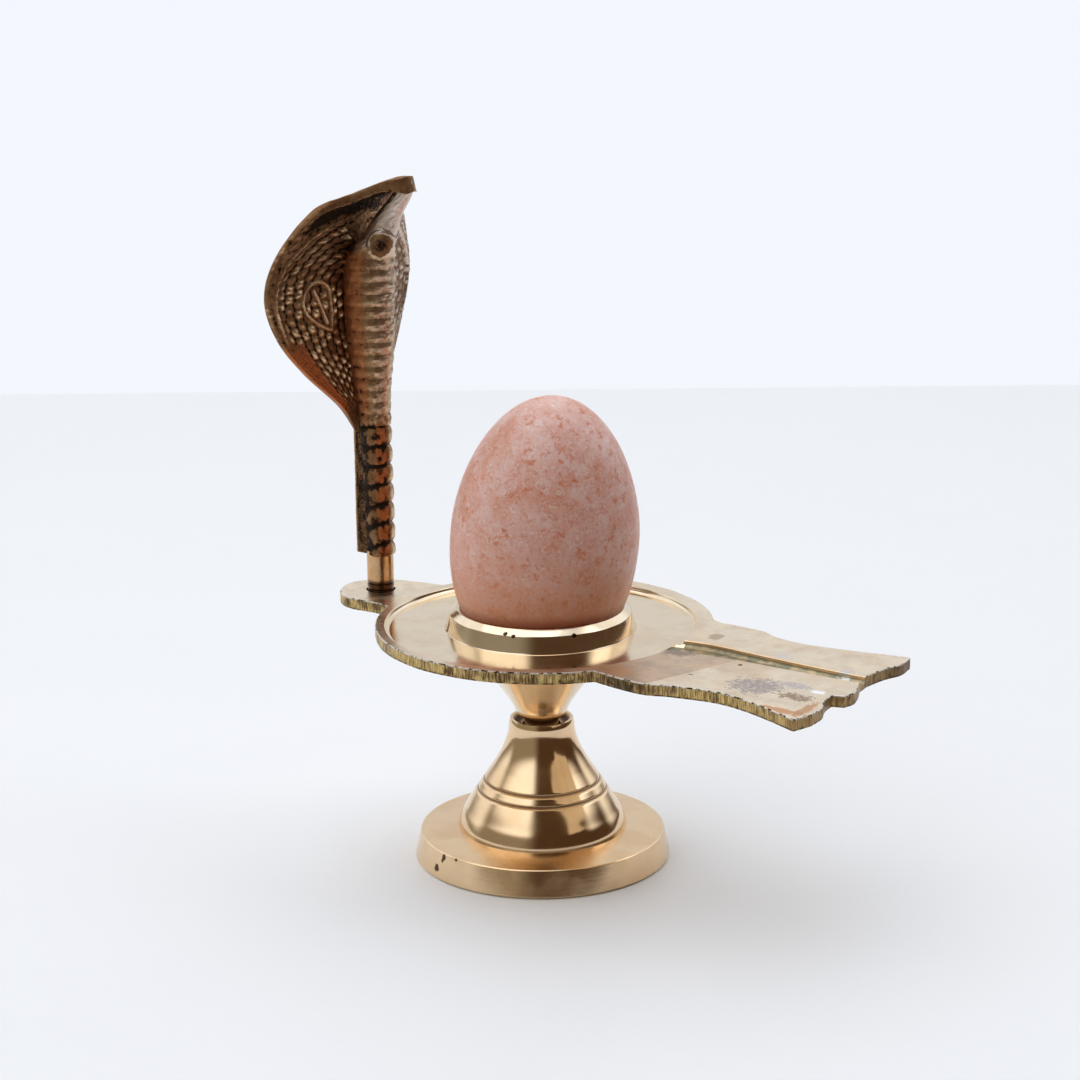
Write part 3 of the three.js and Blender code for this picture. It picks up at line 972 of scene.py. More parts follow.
def channel_cutter():
    """A flat floor whose border is raised step by step along a quarter circle, then straight up."""
    form = bmesh.new()
    number = form.verts.layers.int.new("number in the plan")
    plan = smooth_line(CHANNEL_NEAR, 8) + smooth_line(CHANNEL_FAR, 8)
    bottom = PLATE_TOP - CHANNEL_DEPTH
    corners = [form.verts.new((p.x, p.y, bottom)) for p in plan]
    for i, corner in enumerate(corners):
        corner[number] = i
    face = form.faces.new(corners)
    steps = [(math.sin(a), 1 - math.cos(a)) for a in [math.radians(15 * k) for k in range(1, 7)]]
    levels = [(CHANNEL_ROUNDING * out, CHANNEL_ROUNDING * up) for out, up in steps]
    rim_steps = [(0.05, -0.2), (0.15, -0.06), (0.35, 0.02), (0.4, 2.0)]
    levels += [(CHANNEL_ROUNDING + out, CHANNEL_DEPTH + up) for out, up in rim_steps]
    for out, up in levels:
        grown = bmesh.ops.extrude_face_region(form, geom=[face])["geom"]
        if up > levels[0][1]:
            bmesh.ops.delete(form, geom=[face], context="FACES_ONLY")
        face = next(item for item in grown if isinstance(item, bmesh.types.BMFace))
        for corner in face.verts:
            place = plan[corner[number]]
            side = -1 if corner[number] < CHANNEL_NEAR_POINTS else 1
            corner.co = Vector((place.x, place.y + side * out, bottom + up))
    bmesh.ops.recalc_face_normals(form, faces=form.faces)
    return form


def pin_hole():
    form = bmesh.new()
    bmesh.ops.create_cone(
        form, cap_ends=True, segments=64, radius1=PIN_RADIUS + 0.3, radius2=PIN_RADIUS + 0.3, depth=10
    )
    bmesh.ops.translate(form, verts=form.verts, vec=PIN_PLACE)
    return form


# %% [markdown]
# One function applies the Booleans in turn. Each result becomes a plain mesh before the next cut, and the
# cutter is removed, so nothing but the plate is left in the scene.

# %% Join and cut
def combined(form, steps):
    """Joins and cuts a form with others, one after another, and returns the mesh."""
    piece = in_scene("work", mesh_of(form, "work"))
    for operation, other in steps:
        tool = in_scene("tool", mesh_of(other, "tool"))
        cut = piece.modifiers.new("cut", "BOOLEAN")
        cut.operation = operation
        cut.object = tool
        cut.solver = "EXACT"
        bpy.context.view_layer.update()
        shaped = bpy.data.meshes.new_from_object(piece.evaluated_get(bpy.context.evaluated_depsgraph_get()))
        piece.modifiers.clear()
        piece.data = shaped
        bpy.data.objects.remove(tool)
        print(operation, "->", len(shaped.polygons), "faces")
    mesh = piece.data
    bpy.data.objects.remove(piece)
    return mesh


plate_mesh = combined(
    slab(),
    [
        ("DIFFERENCE", basin_cutter()),
        ("UNION", bowl_and_collar()),
        ("DIFFERENCE", seat_cutter()),
        ("DIFFERENCE", egg(5, SEAT_PLAY)),
        ("DIFFERENCE", channel_cutter()),
        ("DIFFERENCE", pin_hole()),
    ],
)

# %% [markdown]
# ## Finishes of the plate
#
# The basin, the collar and the bowl are turned and polished. The sawn edge is rough and yellow, with black
# dirt in its marks and along its lower rim.

# %% Turned part of the plate
BASIN_SPECK = (18.1, -25.2, 47.4)
COLLAR_NICKS = [((3.2, -17.3, 50.7), 0.5), ((4.9, -17.1, 50.4), 0.45), ((14.4, -10.4, 50.3), 0.5)]
basin_finish, tree, place = new_material("polished basin brass")
pale = colour(0.86, 0.72, 0.53)
base = use_group(tree, brass_colour, "Color", Vector=place, Clean=pale, Age=0.25, Dullness=0.2)
dirt_and_shade = spot_mask(tree, place, BASIN_SPECK, 0.6, 0.4)
for nick, size in COLLAR_NICKS:
    dirt_and_shade = calculate(tree, "MAXIMUM", dirt_and_shade, spot_mask(tree, place, nick, size, 0.3))
base = mixed(tree, dirt_and_shade, base, colour(0.05, 0.03, 0.015))
roughness = film_roughness(tree, place, 7.0, 0.07, 0.12)
finish_metal(tree, base, roughness, lathe_marks(tree, place, 0.4, 0.6, dirt_and_shade), 0.002)

# %% [markdown]
# The sawn edge has upright marks from the saw, black dirt along its lower rim, and a bright worn line at
# its upper rim that is broken by short black dashes. The cut end of the spout is browner than the sides.

# %% Sawn edge
EDGE_DIRT = [((24.3, -26.5, 46.6), 2.6), ((32.1, -21.6, 46.8), 3.2)]  # place and radius
edge_finish, tree, place = new_material("sawn brass edge")
upright = stretched(tree, place, (1.0, 1.0, 0.10))
marks = noise_of(tree, upright, 0.27, 5.0, 0.7)
broad = noise_of(tree, place, 4.0, 4.0)
base = mixed(tree, remapped(tree, marks, 0.32, 0.60), colour(0.22, 0.13, 0.045), colour(0.74, 0.54, 0.23))
base = mixed(tree, remapped(tree, broad, 0.5, 0.68, 0.0, 0.8), base, colour(0.22, 0.12, 0.055))
x, y, z = axes_of(tree, place)
cut_end = between(tree, x, 66.5, 69.5, 0.0, 0.6)
base = mixed(tree, cut_end, base, colour(0.26, 0.15, 0.07))
far_lobe = product(tree, cut_end, between(tree, y, 3, 11))
base = mixed(tree, far_lobe, base, colour(0.08, 0.045, 0.03))
black = product(tree, remapped(tree, marks, 0.60, 0.42), remapped(tree, broad, 0.42, 0.60))
low_edge = between(tree, z, PLATE_BOTTOM + 0.1, PLATE_BOTTOM + 0.6, 1.0, 0.0)
soot = product(tree, low_edge, remapped(tree, noise_of(tree, place, 1.2, 5.0), 0.4, 0.55))
soot = calculate(tree, "MAXIMUM", soot, product(tree, black, 0.55))
for dark_place, size in EDGE_DIRT:
    mark = spot_mask(tree, place, dark_place, size, 1.0)
    soot = calculate(tree, "MAXIMUM", soot, product(tree, mark, 0.8))
base = mixed(tree, soot, base, colour(0.02, 0.015, 0.01))
top_line = between(tree, z, PLATE_TOP - 0.30, PLATE_TOP - 0.16)
dashes = remapped(tree, noise_of(tree, place, 1.1, 4.0, 0.7), 0.49, 0.58)
line_colour = mixed(tree, dashes, colour(0.84, 0.78, 0.70), colour(0.03, 0.02, 0.015))
base = mixed(tree, top_line, base, line_colour)
roughness = remapped(tree, marks, 0.3, 0.7, 0.55, 0.30)
finish_metal(tree, base, roughness, marks, 0.10)

# %% [markdown]
# The satin top carries the marks of real use, each at its place in the photograph: a brown film between the
# basin and a straight wipe line, a grey crust with white grains, a few black dots, and an orange stain along
# the near corner. A soft dark spot at the channel's mouth is painted shade, a painted dark reflection.

# %% Satin top
WIPE_LINE = 45.7  # the brown film ends on a slanted line
WIPE_SLANT = 0.36
CRUSTS = [  # place, how much it is squeezed each way, radius, colour
    ((55.3, -13.4), (0.85, 1.1), 4.7, colour(0.40, 0.34, 0.32)),
    ((61.5, -9.6), (0.7, 1.6), 2.6, colour(0.52, 0.46, 0.44)),
    ((64.6, -15.3), (0.7, 1.5), 2.6, colour(0.34, 0.24, 0.17)),
    ((66.8, -10.8), (0.7, 1.1), 1.1, colour(0.90, 0.90, 0.95)),
    ((66.0, 2.0), (1.0, 0.8), 1.4, colour(0.62, 0.56, 0.52)),
    ((51.0, 4.6), (0.8, 1.2), 1.6, colour(0.66, 0.60, 0.57)),
]
STAINS_AND_SHADE = [  # place, how much it is squeezed each way, radius, strength, colour
    # The first entry is painted shade, a dark reflection at the channel's mouth; the others are stains and
    # dots.
    ((32.6, -2.6), (0.55, 1.0), 2.6, 0.6, colour(0.16, 0.12, 0.10)),
    ((34.4, 8.9), (1.0, 0.7), 1.5, 0.6, colour(0.30, 0.20, 0.11)),
    ((-29.0, 17.0), (0.8, 1.2), 3.5, 0.45, colour(0.36, 0.28, 0.24)),
    ((64.5, -23.3), (0.22, 1.0), 1.3, 0.8, colour(0.55, 0.26, 0.10)),
    ((69.2, -20.5), (1.0, 0.22), 1.1, 0.8, colour(0.50, 0.26, 0.12)),
    ((27.0, -20.0), (0.5, 0.7), 3.2, 0.6, colour(0.62, 0.36, 0.17)),
    ((46.8, -4.1), (1.0, 1.0), 0.45, 1.0, colour(0.03, 0.02, 0.015)),
    ((58.4, -13.0), (1.0, 1.0), 0.42, 0.9, colour(0.05, 0.03, 0.02)),
    ((40.6, -1.9), (1.0, 1.0), 0.26, 0.9, colour(0.05, 0.03, 0.02)),
    ((41.8, -13.8), (0.6, 1.4), 0.4, 0.8, colour(0.05, 0.03, 0.02)),
]
top_finish, tree, place = new_material("satin plate brass")
base = use_group(
    tree, brass_colour, "Color", Vector=place, Clean=colour(0.87, 0.74, 0.56), Age=0.3, Dullness=0.3
)
x, y, z = axes_of(tree, place)
mottle = noise_of(tree, place, 3.5, 6.0, 0.65)
base = mixed(tree, remapped(tree, mottle, 0.45, 0.66, 0.0, 0.28), base, colour(0.56, 0.38, 0.26))
slant = calculate(tree, "MULTIPLY_ADD", y, -WIPE_SLANT, x)
inner = between(tree, slant, WIPE_LINE - 0.3, WIPE_LINE + 0.3, 1.0, 0.0)
strip = product(tree, between(tree, y, -9.2, -8.4), between(tree, x, 57, 40, 0.0, 0.6))
nearer = calculate(tree, "MAXIMUM", inner, strip)
nearer = product(tree, nearer, between(tree, y, 0.5, -1.0))
nearer = product(tree, nearer, between(tree, x, 17, 26))
film_share = remapped(tree, mottle, 0.42, 0.6)
film_base = mixed(tree, film_share, colour(0.57, 0.41, 0.28), colour(0.46, 0.33, 0.235))
base = mixed(tree, product(tree, nearer, 0.8), base, film_base)
dull = product(tree, nearer, 0.5)
for spot_place, stretch, size, strength, tone in STAINS_AND_SHADE:
    mark = spot_mask(tree, place, (*spot_place, PLATE_TOP), size, 0.5, (*stretch, 1.0))
    mark = product(tree, mark, strength)
    base = mixed(tree, mark, base, tone)
    dull = calculate(tree, "MAXIMUM", dull, mark)
crumbs = remapped(tree, noise_of(tree, place, 0.8, 6.0, 0.75), 0.33, 0.50)
for crust, stretch, size, tone in CRUSTS:
    mark = spot_mask(tree, place, (*crust, PLATE_TOP), size, 0.8, (*stretch, 1.0))
    mark = product(tree, mark, crumbs)
    base = mixed(tree, mark, base, tone)
    dull = calculate(tree, "MAXIMUM", dull, mark)
web = use_group(tree, scratches, "Height", Vector=place, Amount=0.8)
roughness = film_roughness(tree, place, 5.0, 0.10, 0.26)
roughness = calculate(tree, "MULTIPLY_ADD", dull, 0.25, roughness)
grit = calculate(tree, "ADD", noise_of(tree, place, 0.5, 5.0), product(tree, dull, crumbs))
finish_metal(tree, base, roughness, calculate(tree, "MULTIPLY_ADD", web, -0.4, grit), 0.012)

# %% [markdown]
# The channel is darker than the plate, with a green-grey film where water stood.

# %% Channel
RESIDUE_PLACE = (65.5, 1.0, 47.5)
channel_finish, tree, place = new_material("channel brass")
x, y, z = axes_of(tree, place)
base = use_group(tree, brass_colour, "Color", Vector=place, Age=0.5, Dullness=0.3)
depth_mask = between(tree, z, PLATE_TOP - 0.75, PLATE_TOP - 0.35, 1.0, 0.0)
grime = remapped(tree, noise_of(tree, place, 2.0, 5.0), 0.3, 0.6, 0.55, 1.0)
film_base = mixed(tree, noise_of(tree, place, 1.2, 5.0), colour(0.16, 0.15, 0.09), colour(0.30, 0.29, 0.20))
base = mixed(tree, product(tree, depth_mask, grime), base, film_base)
residue = spot_mask(tree, place, RESIDUE_PLACE, 1.5, 0.8)
base = mixed(tree, residue, base, colour(0.60, 0.58, 0.55))
roughness = remapped(tree, depth_mask, 0.0, 1.0, 0.2, 0.42)
along_lines = noise_of(tree, stretched(tree, place, (0.1, 1.0, 1.0)), 0.3, 3.0)
finish_metal(tree, base, roughness, along_lines, 0.01)

# %% [markdown]
# Each face takes one of the four finishes by where it lies: flat faces at full height are the satin top,
# what lies inside the basin's radius is polished, and steep faces outside it are the sawn edge.

# %% Which finish goes where
TOP_FACE, EDGE_FACE, BASIN_FACE, CHANNEL_FACE = range(4)


def corners_of(face):
    return [plate_mesh.vertices[i].co for i in face.vertices]


def finish_of(face):
    centre = face.center
    reach = centre.xy.length
    if face.normal.z > 0.99 and min((corner.z for corner in corners_of(face))) > PLATE_TOP - 0.01:
        return TOP_FACE
    if reach < BASIN_RADIUS + 0.35 and (centre.z < PLATE_TOP - 0.02 or reach < 20):
        return BASIN_FACE
    if -4.5 < centre.y < 5.5 and centre.x > 27 and PLATE_BOTTOM + 0.5 < centre.z < PLATE_TOP - 0.01:
        if abs(face.normal.x) < 0.6:
            return CHANNEL_FACE
    if abs(face.normal.z) < 0.97 and centre.z > PLATE_BOTTOM and reach > BASIN_RADIUS + 0.5:
        return EDGE_FACE
    return TOP_FACE


for face in plate_mesh.polygons:
    face.material_index = finish_of(face)
plate_finishes = [top_finish, edge_finish, basin_finish, channel_finish]
make_piece("plate", plate_mesh, "yoni_plate", plate_finishes, sharp=32.0)

# %% [markdown]
# ## The cobra
#
# The cobra is an old bronze casting. In its own frame x points forward to the stone, y sideways, and z up
# from the tab. The hood is a sheet between its free edge and its middle line. A grid is given thickness
# with `solidify`, and each point is then moved on to the hood, with the ornament as height over it.

# %% Cobra frame and hood lines
FACING = Matrix.Translation(PIN_PLACE) @ Matrix.Rotation(math.atan2(-PIN_PLACE.y, -PIN_PLACE.x), 4, "Z")
LINE_STEPS = 24
HOOD_EDGE = smooth_line(
    [
        (-4.3, 2.0, 32.9),
        (-4.6, 5.9, 38.4),
        (-7.0, 13.5, 45.9),
        (-8.9, 19.2, 53.5),
        (-9.2, 22.1, 61.9),
        (-7.9, 19.8, 69.9),
        (-3.9, 13.5, 77.9),
        (1.5, 7.4, 80.9),
        (9.2, 1.7, 84.6),
    ],
    LINE_STEPS,
)
HOOD_MIDDLE = smooth_line(
    [
        (-3.4, 0, 32.9),
        (-3.8, 0, 38.4),
        (-4.4, 0, 45.9),
        (-4.9, 0, 53.5),
        (-4.9, 0, 61.9),
        (-4.3, 0, 70.2),
        (-2.2, 0, 78.6),
        (3.0, 0, 81.9),
        (9.6, 0, 84.9),
    ],
    LINE_STEPS,
)


def on_line(line, share):
    at = min(max(share, 0.0), 1.0) * (len(line) - 1)
    index = min(int(at), len(line) - 2)
    return line[index].lerp(line[index + 1], at - index)


def hood_point(across, up):
    edge = on_line(HOOD_EDGE, up)
    middle = on_line(HOOD_MIDDLE, up)
    bow = abs(across) ** 1.5
    return Vector(
        (middle.x + (edge.x - middle.x) * bow, edge.y * across, middle.z + (edge.z - middle.z) * bow)
    )


def hood_normal(across, up):
    step = 0.012
    a = min(max(across, step - 1), 1 - step)
    u = min(max(up, step), 1 - step)
    sideways = hood_point(a + step, u) - hood_point(a - step, u)
    upward = hood_point(a, u + step) - hood_point(a, u - step)
    return sideways.cross(upward).normalized()


# %% [markdown]
# The ornament of each lobe follows a raised arch. Inside it are rows of small pyramid scales that run
# parallel to the arch, and among them the spectacle mark: a horseshoe with two strokes. Distances on the
# lobe are measured in millimetres, from the middle line and along the hood.

# %% Hood ornament
HOOD_LENGTH = 62.0  # along the hood, from its root to the snout
ARCH_WIDTH = 0.91  # share of the lobe's width
ARCH_SPRING = 0.48  # share of the hood's length where the arch starts to close
ARCH_RISE = 0.24
LOBE_WIDTH = 19.0  # at the arch, in millimetres
ARCH_RADIUS = 17.0
ROW_PITCH = 1.9
SCALE_PITCH = 2.05
SCALE_HEIGHT = 0.8
SPECTACLE = [
    smooth_line(
        [
            (0.606, 0.443),
            (0.633, 0.471),
            (0.625, 0.501),
            (0.593, 0.52),
            (0.54, 0.533),
            (0.464, 0.536),
            (0.395, 0.527),
            (0.349, 0.51),
            (0.331, 0.473),
            (0.337, 0.428),
            (0.366, 0.386),
        ],
        3,
    ),
    smooth_line([(0.606, 0.443), (0.526, 0.415), (0.434, 0.396), (0.366, 0.386)], 2),
    smooth_line([(0.517, 0.514), (0.466, 0.479), (0.425, 0.441), (0.398, 0.41)], 2),
]


def half_width(up):
    return on_line(HOOD_EDGE, up).y


def line_distance(place, line):
    """Shortest distance from a place on the lobe to a line of (across, up) points, in millimetres."""
    width = half_width(place.y)
    here = Vector((place.x * width, place.y * HOOD_LENGTH))
    nearest = 99.0
    for start, end in zip(line, line[1:]):
        a = Vector((start.x * width, start.y * HOOD_LENGTH))
        b = Vector((end.x * width, end.y * HOOD_LENGTH))
        run = b - a
        t = min(max((here - a).dot(run) / run.length_squared, 0.0), 1.0)
        nearest = min(nearest, (here - a - run * t).length)
    return nearest


def ridge(distance, half):
    """1 on a line, 0 beyond half a width, with a round top."""
    return max(0.0, 1 - (distance / half) ** 2)


def scales(ring, along):
    """Staggered rows of uneven four-sided pyramids: their height, and the pits at their corners."""
    bend = noise.noise(Vector((ring * 4, along * 0.16, 4.0)))
    slip = noise.noise(Vector((ring * 4, along * 0.2, 14.0)))
    row = ring * LOBE_WIDTH / ROW_PITCH + 0.3 * bend
    column = along / SCALE_PITCH + (0.5 if math.floor(row) % 2 else 0.0) + 0.3 * slip
    chance = noise.cell(Vector((math.floor(row) + 0.5, math.floor(column) + 0.5, 1.5)))
    p = 2 * abs(row - math.floor(row) - 0.5)
    q = 2 * abs(column - math.floor(column) - 0.45)
    pit = ease(0.5, 0.95, p) * ease(0.4, 0.9, q)
    return (0.7 + 0.55 * chance) * max(0.0, 1 - max(p, q)), pit


def hood_relief(across, up):
    """The ornament's height in millimetres; how worn it is, with painted shade under the visor and a painted
    highlight on the far lobe (0 dark to 1 golden); and how ruddy, paler on the far lobe for that highlight.
    """
    a = abs(across)
    over = max(up - ARCH_SPRING, 0) / ARCH_RISE
    ring = ((a / ARCH_WIDTH) ** 3 + over ** 3) ** (1 / 3)
    turn = math.atan2(over, a / ARCH_WIDTH)
    along = HOOD_LENGTH * (up - ARCH_SPRING) if over == 0 else ARCH_RADIUS * ring * turn
    rough = noise.noise(Vector((across * 30, up * 80, 2.0)))
    fine = noise.noise(Vector((across * 90, up * 240, 5.0)))
    arch = ridge((ring - 1) * LOBE_WIDTH + 0.25 * rough, 0.45) * ease(0.34, 0.42, up) * ease(0.1, 0.25, a)
    field = ease(0.965, 0.93, ring) * ease(0.10, 0.17, a) * ease(0.10, 0.22, up)
    if up < 0.36:
        field *= ease(0.80, 0.70, a)
    mark = 0.0
    if 0.25 < a < 0.72 and 0.35 < up < 0.57:
        near = min(line_distance(Vector((a, up)), line) for line in SPECTACLE)
        mark = ridge(near + 0.2 * rough, 0.42)
        field *= ease(0.35, 0.8, near)
    scale, pit = scales(ring, along)
    # The far lobe has fewer scales and is painted pale, a painted highlight where it catches the light.
    far_lobe = ease(0.25, 0.42, across)
    field *= 1 - 0.6 * far_lobe
    lumps = 0.5 * max(0.0, noise.noise(Vector((across * 55, up * 62, 8.0)))) * ease(0.2, 0.13, a)
    unrest = 0.07 * rough + 0.05 * fine
    speckle = 2.2 if ring > 1.02 and up > 0.36 else 1.0
    height = SCALE_HEIGHT * field * scale + 0.5 * arch + 0.5 * mark + lumps + unrest * speckle
    # Painted shade: the hood is painted darker under the visor.
    visor_shade = ease(0.66, 0.72, up) * ease(1.0, 1.12, ring) * ease(0.94, 0.84, a) * ease(0.97, 0.93, up)
    plain = 0.30 + 3.2 * unrest * speckle + 1.4 * lumps + 0.45 * far_lobe - 0.5 * visor_shade
    wear_and_painted_light = plain * (1 - field) + field * (0.17 + 1.35 * scale - 0.9 * pit) + 0.5 * arch + 0.6 * mark
    ruddy = ease(0.66, 0.80, a) * ease(0.06, 0.16, up) * ease(0.40, 0.28, up) * (1 - far_lobe)
    # On the far lobe the tone turns to pale gold, part of the same painted highlight.
    return height, wear_and_painted_light, ruddy - 0.7 * far_lobe * ease(0.2, 0.4, up)


# %% [markdown]
# The grid has a point about every quarter of a millimetre, enough to draw the scales as real shapes. The
# outermost points curve back, so that the hood has a round lip. Each point also keeps how high it stands in
# the ornament, and the finish later reads that to put dirt into the hollows and gold on the tops. The same
# value carries painted shade under the visor and a painted highlight on the far lobe.

# %% Hood form
HOOD_ACROSS = 170
HOOD_UP = 250
LIP = 0.96


def hood_mesh():
    form = bmesh.new()
    bmesh.ops.create_grid(form, x_segments=HOOD_ACROSS, y_segments=HOOD_UP, size=1.0)
    bmesh.ops.solidify(form, geom=form.faces[:], thickness=0.5)
    wear_and_painted_light = form.verts.layers.float.new("wear_and_painted_light")
    tone = form.verts.layers.float.new("tone")
    levels = sorted({round(point.co.z, 3) for point in form.verts})
    print("sheet levels", levels)
    middle = sum(levels) / len(levels)
    for point in form.verts:
        across = max(-1.0, min(1.0, point.co.x))
        up = max(0.0, min(1.0, (point.co.y + 1) / 2))
        front = point.co.z > middle
        snout = ease(0.92, 1.0, up)
        thickness = HOOD_THICKNESS + (SNOUT_THICKNESS - HOOD_THICKNESS) * snout
        lip = max(0.0, (abs(across) - LIP) / (1 - LIP))
        round_off = math.sqrt(max(0.0, 1 - lip * lip)) * (1 - snout) + snout
        share = 0.5 * round_off if front else -0.5 * round_off
        offset = (share + 0.5 * snout) * thickness
        relief, how_worn_and_lit, ruddy = hood_relief(across, up)
        if front:
            offset += relief * (1 - snout) * round_off
            point[wear_and_painted_light] = how_worn_and_lit + 0.12 * lip
            point[tone] = ruddy
        else:
            back = 0.12 * noise.noise(Vector((across * 12, up * 30, 9.0)))
            offset += back * (1 - snout) * round_off
            point[wear_and_painted_light] = 0.35 + back
        point.co = hood_point(across, up) + hood_normal(across, up) * offset
    bmesh.ops.recalc_face_normals(form, faces=form.faces)
    bmesh.ops.transform(form, matrix=FACING, verts=form.verts)
    return mesh_of(form, "hood")


# %% [markdown]
# The body in front of the hood is a column of level ovals: seven rounded rings below, then narrow belly
# ribs, and at the top the smooth throat that leans forward under the snout. A grid rolled into a tube gives
# the points, and the groove between two rings is a dip in the oval's size.

# %% Body form
BODY_SECTIONS = smooth_line(  # height, front, back, half width
    [
        (7.3, 3.2, -2.2, 3.0),
        (20.0, 3.15, -2.9, 3.0),
        (34.5, 3.0, -3.6, 3.0),
        (41.0, 3.2, -4.8, 3.3),
        (50.0, 4.1, -5.6, 4.6),
        (62.0, 4.3, -5.6, 5.3),
        (68.5, 4.7, -5.0, 4.8),
        (72.5, 5.7, -1.6, 3.0),
        (77.0, 7.4, 1.8, 2.2),
        (81.0, 9.9, 5.6, 1.6),
        (82.4, 10.4, 6.3, 1.5),
        (84.0, 10.1, 7.0, 1.3),
    ],
    16,
)
RING_COUNT = 6.5
RIB_COUNT = 14
RING_TOP = BODY_FOOT + RING_COUNT * RING_PITCH
RIB_PITCH = (RIB_TOP - RING_TOP) / RIB_COUNT
GROOVE = 0.6
RIB_GROOVE = 0.34
RING_ROUNDNESS = 3.2  # the higher, the flatter a ring and the narrower its groove
BODY_AROUND = 96
BODY_UP = 560


def body_section(height):
    for low, high in zip(BODY_SECTIONS, BODY_SECTIONS[1:]):
        if high[0] >= height:
            return low.lerp(high, (height - low[0]) / (high[0] - low[0]))
    return BODY_SECTIONS[-1]


def body_dip(height, forward):
    """How far the surface lies under the plain oval, in millimetres."""
    tilt = 1.0 - 0.8 * ease(14.0, 34.0, height)
    level = height - tilt * forward
    if level < RING_TOP:
        share = ((level - BODY_FOOT) / RING_PITCH + 0.5) % 1.0
        depth = GROOVE
        power = RING_ROUNDNESS
    else:
        share = ((level - RING_TOP) / RIB_PITCH) % 1.0
        depth = RIB_GROOVE * ease(1.05, 0.75, forward)
        power = 2
    depth *= ease(-0.8, -0.4, forward) * ease(RIB_TOP + 1, RIB_TOP - 1.5, height)
    return depth * abs(2 * share - 1) ** power


BOSS_PLACE = Vector((4.2, -2.3, 71.3))  # the round knob at the throat's near side
BOSS_RADIUS = 2.9


def body_mesh():
    form = bmesh.new()
    bmesh.ops.create_grid(form, x_segments=BODY_AROUND, y_segments=BODY_UP, size=1.0)
    wear_and_painted_light = form.verts.layers.float.new("wear_and_painted_light")
    tone = form.verts.layers.float.new("tone")
    for point in form.verts:
        turn = math.pi * point.co.x
        height = BODY_FOOT + (BODY_SECTIONS[-1][0] - BODY_FOOT) * (point.co.y + 1) / 2
        section = body_section(height)
        forward, sideways = math.cos(turn), math.sin(turn)
        dip = body_dip(height, forward)
        unrest = 0.10 * noise.noise(Vector((forward * 4, sideways * 4, height * 0.9)))
        unrest += 0.06 * noise.noise(Vector((forward * 14, sideways * 14, height * 3.0)))
        unrest *= ease(-0.2, 0.3, ease(30, 42, height) * ease(72, 66, height)) + 0.35
        over_foot = min((height - BODY_FOOT) / 0.8, 1.0)
        close = math.sqrt(max(0.0, 1 - (1 - over_foot) ** 2))
        size = -dip + unrest - (1 - close) * 0.7
        depth = (section[1] - section[2]) / 2 + size
        width = section[3] + size
        centre = (section[1] + section[2]) / 2
        pointed = 1 - 0.22 * forward * ease(36, 46, height)
        point.co = Vector((centre + forward * depth, sideways * width * pointed, height))
        from_boss = (Vector((point.co.x, -abs(point.co.y), point.co.z)) - BOSS_PLACE).length + 4 * unrest
        knob = ridge(from_boss, BOSS_RADIUS)
        knob_rim = ridge(from_boss - BOSS_RADIUS + 0.3, 0.45)
        point.co += Vector((0.5 * forward, 0.8 * sideways, 0)) * (knob + 0.35 * knob_rim)
        throat = ease(RIB_TOP + 0.5, RIB_TOP + 3, height)
        belly = ease(32, 38, height) * (1 - throat)
        crest = ease(0.05, 0.85, forward)
        rings = 1 - belly - throat
        shoulder = 1 - dip / GROOVE
        blotch = noise.noise(Vector((forward * 3, sideways * 3, height * 0.7 + 5)))
        # Painted highlight: the rings are painted lighter on their far side.
        ring_wear_and_light = 0.30 + 0.6 * ease(-0.3, 0.2, sideways) + 0.4 * blotch
        # Painted reflection: the rings are painted orange where they face the camera.
        ember = ease(0.86, 0.97, 0.79 * forward - 0.6 * sideways)
        point[wear_and_painted_light] = (
            rings * (ring_wear_and_light - 0.6 * (1 - shoulder) + 1.5 * unrest - 0.3 * ease(0.1, -0.5, forward))
            # The belly ribs are lighter along their forward crest: wear with a painted highlight.
            + belly * (0.38 + 0.45 * crest - 0.55 * dip + 1.2 * unrest + 0.2 * blotch)
            + throat * (0.9 + unrest)
            - (0.85 + 1.5 * unrest) * knob
            + 0.35 * knob_rim
        )
        point[tone] = rings * ember + belly * (0.6 * (1 - crest) - 0.5 * crest) - throat
    bmesh.ops.remove_doubles(form, verts=form.verts, dist=0.001)
    rims = [edge for edge in form.edges if edge.is_boundary]
    bmesh.ops.holes_fill(form, edges=rims, sides=0)
    bmesh.ops.recalc_face_normals(form, faces=form.faces)
    bmesh.ops.transform(form, matrix=FACING, verts=form.verts)
    return mesh_of(form, "body")


# %% [markdown]
# Behind the rings runs a flat bar, the remains of the runner through which the metal was poured. The body
# stands on a turned pin with dark grooves at its foot.

# %% Bar and pin
BAR_SIZE = (3.5, 3.8, 28.4)
BAR_PLACE = (-2.75, 0, 21.8)
BAR_CUTS = 22
PIN_GROOVE = 0.4
PIN_LINES = [(0.25, 0.8), (1.4, 2.0)]  # each cut line from and to, over the tab


def bar_mesh():
    form = bmesh.new()
    bmesh.ops.create_cube(form, size=1.0)
    bmesh.ops.scale(form, verts=form.verts, vec=BAR_SIZE)
    bmesh.ops.translate(form, verts=form.verts, vec=BAR_PLACE)
    bmesh.ops.subdivide_edges(form, edges=form.edges[:], cuts=BAR_CUTS, use_grid_fill=True)
    wear_and_painted_light = form.verts.layers.float.new("wear_and_painted_light")
    form.verts.layers.float.new("tone")
    for point in form.verts:
        unrest = noise.noise(point.co * 0.8) * 0.16 + noise.noise(point.co * 2.6) * 0.08
        point.co.x += unrest
        point.co.y *= 1 + 0.25 * unrest
        point[wear_and_painted_light] = 0.12 + 1.2 * unrest + 0.7 * ease(-4.0, -4.4, point.co.x)
    bmesh.ops.transform(form, matrix=FACING, verts=form.verts)
    return mesh_of(form, "bar")


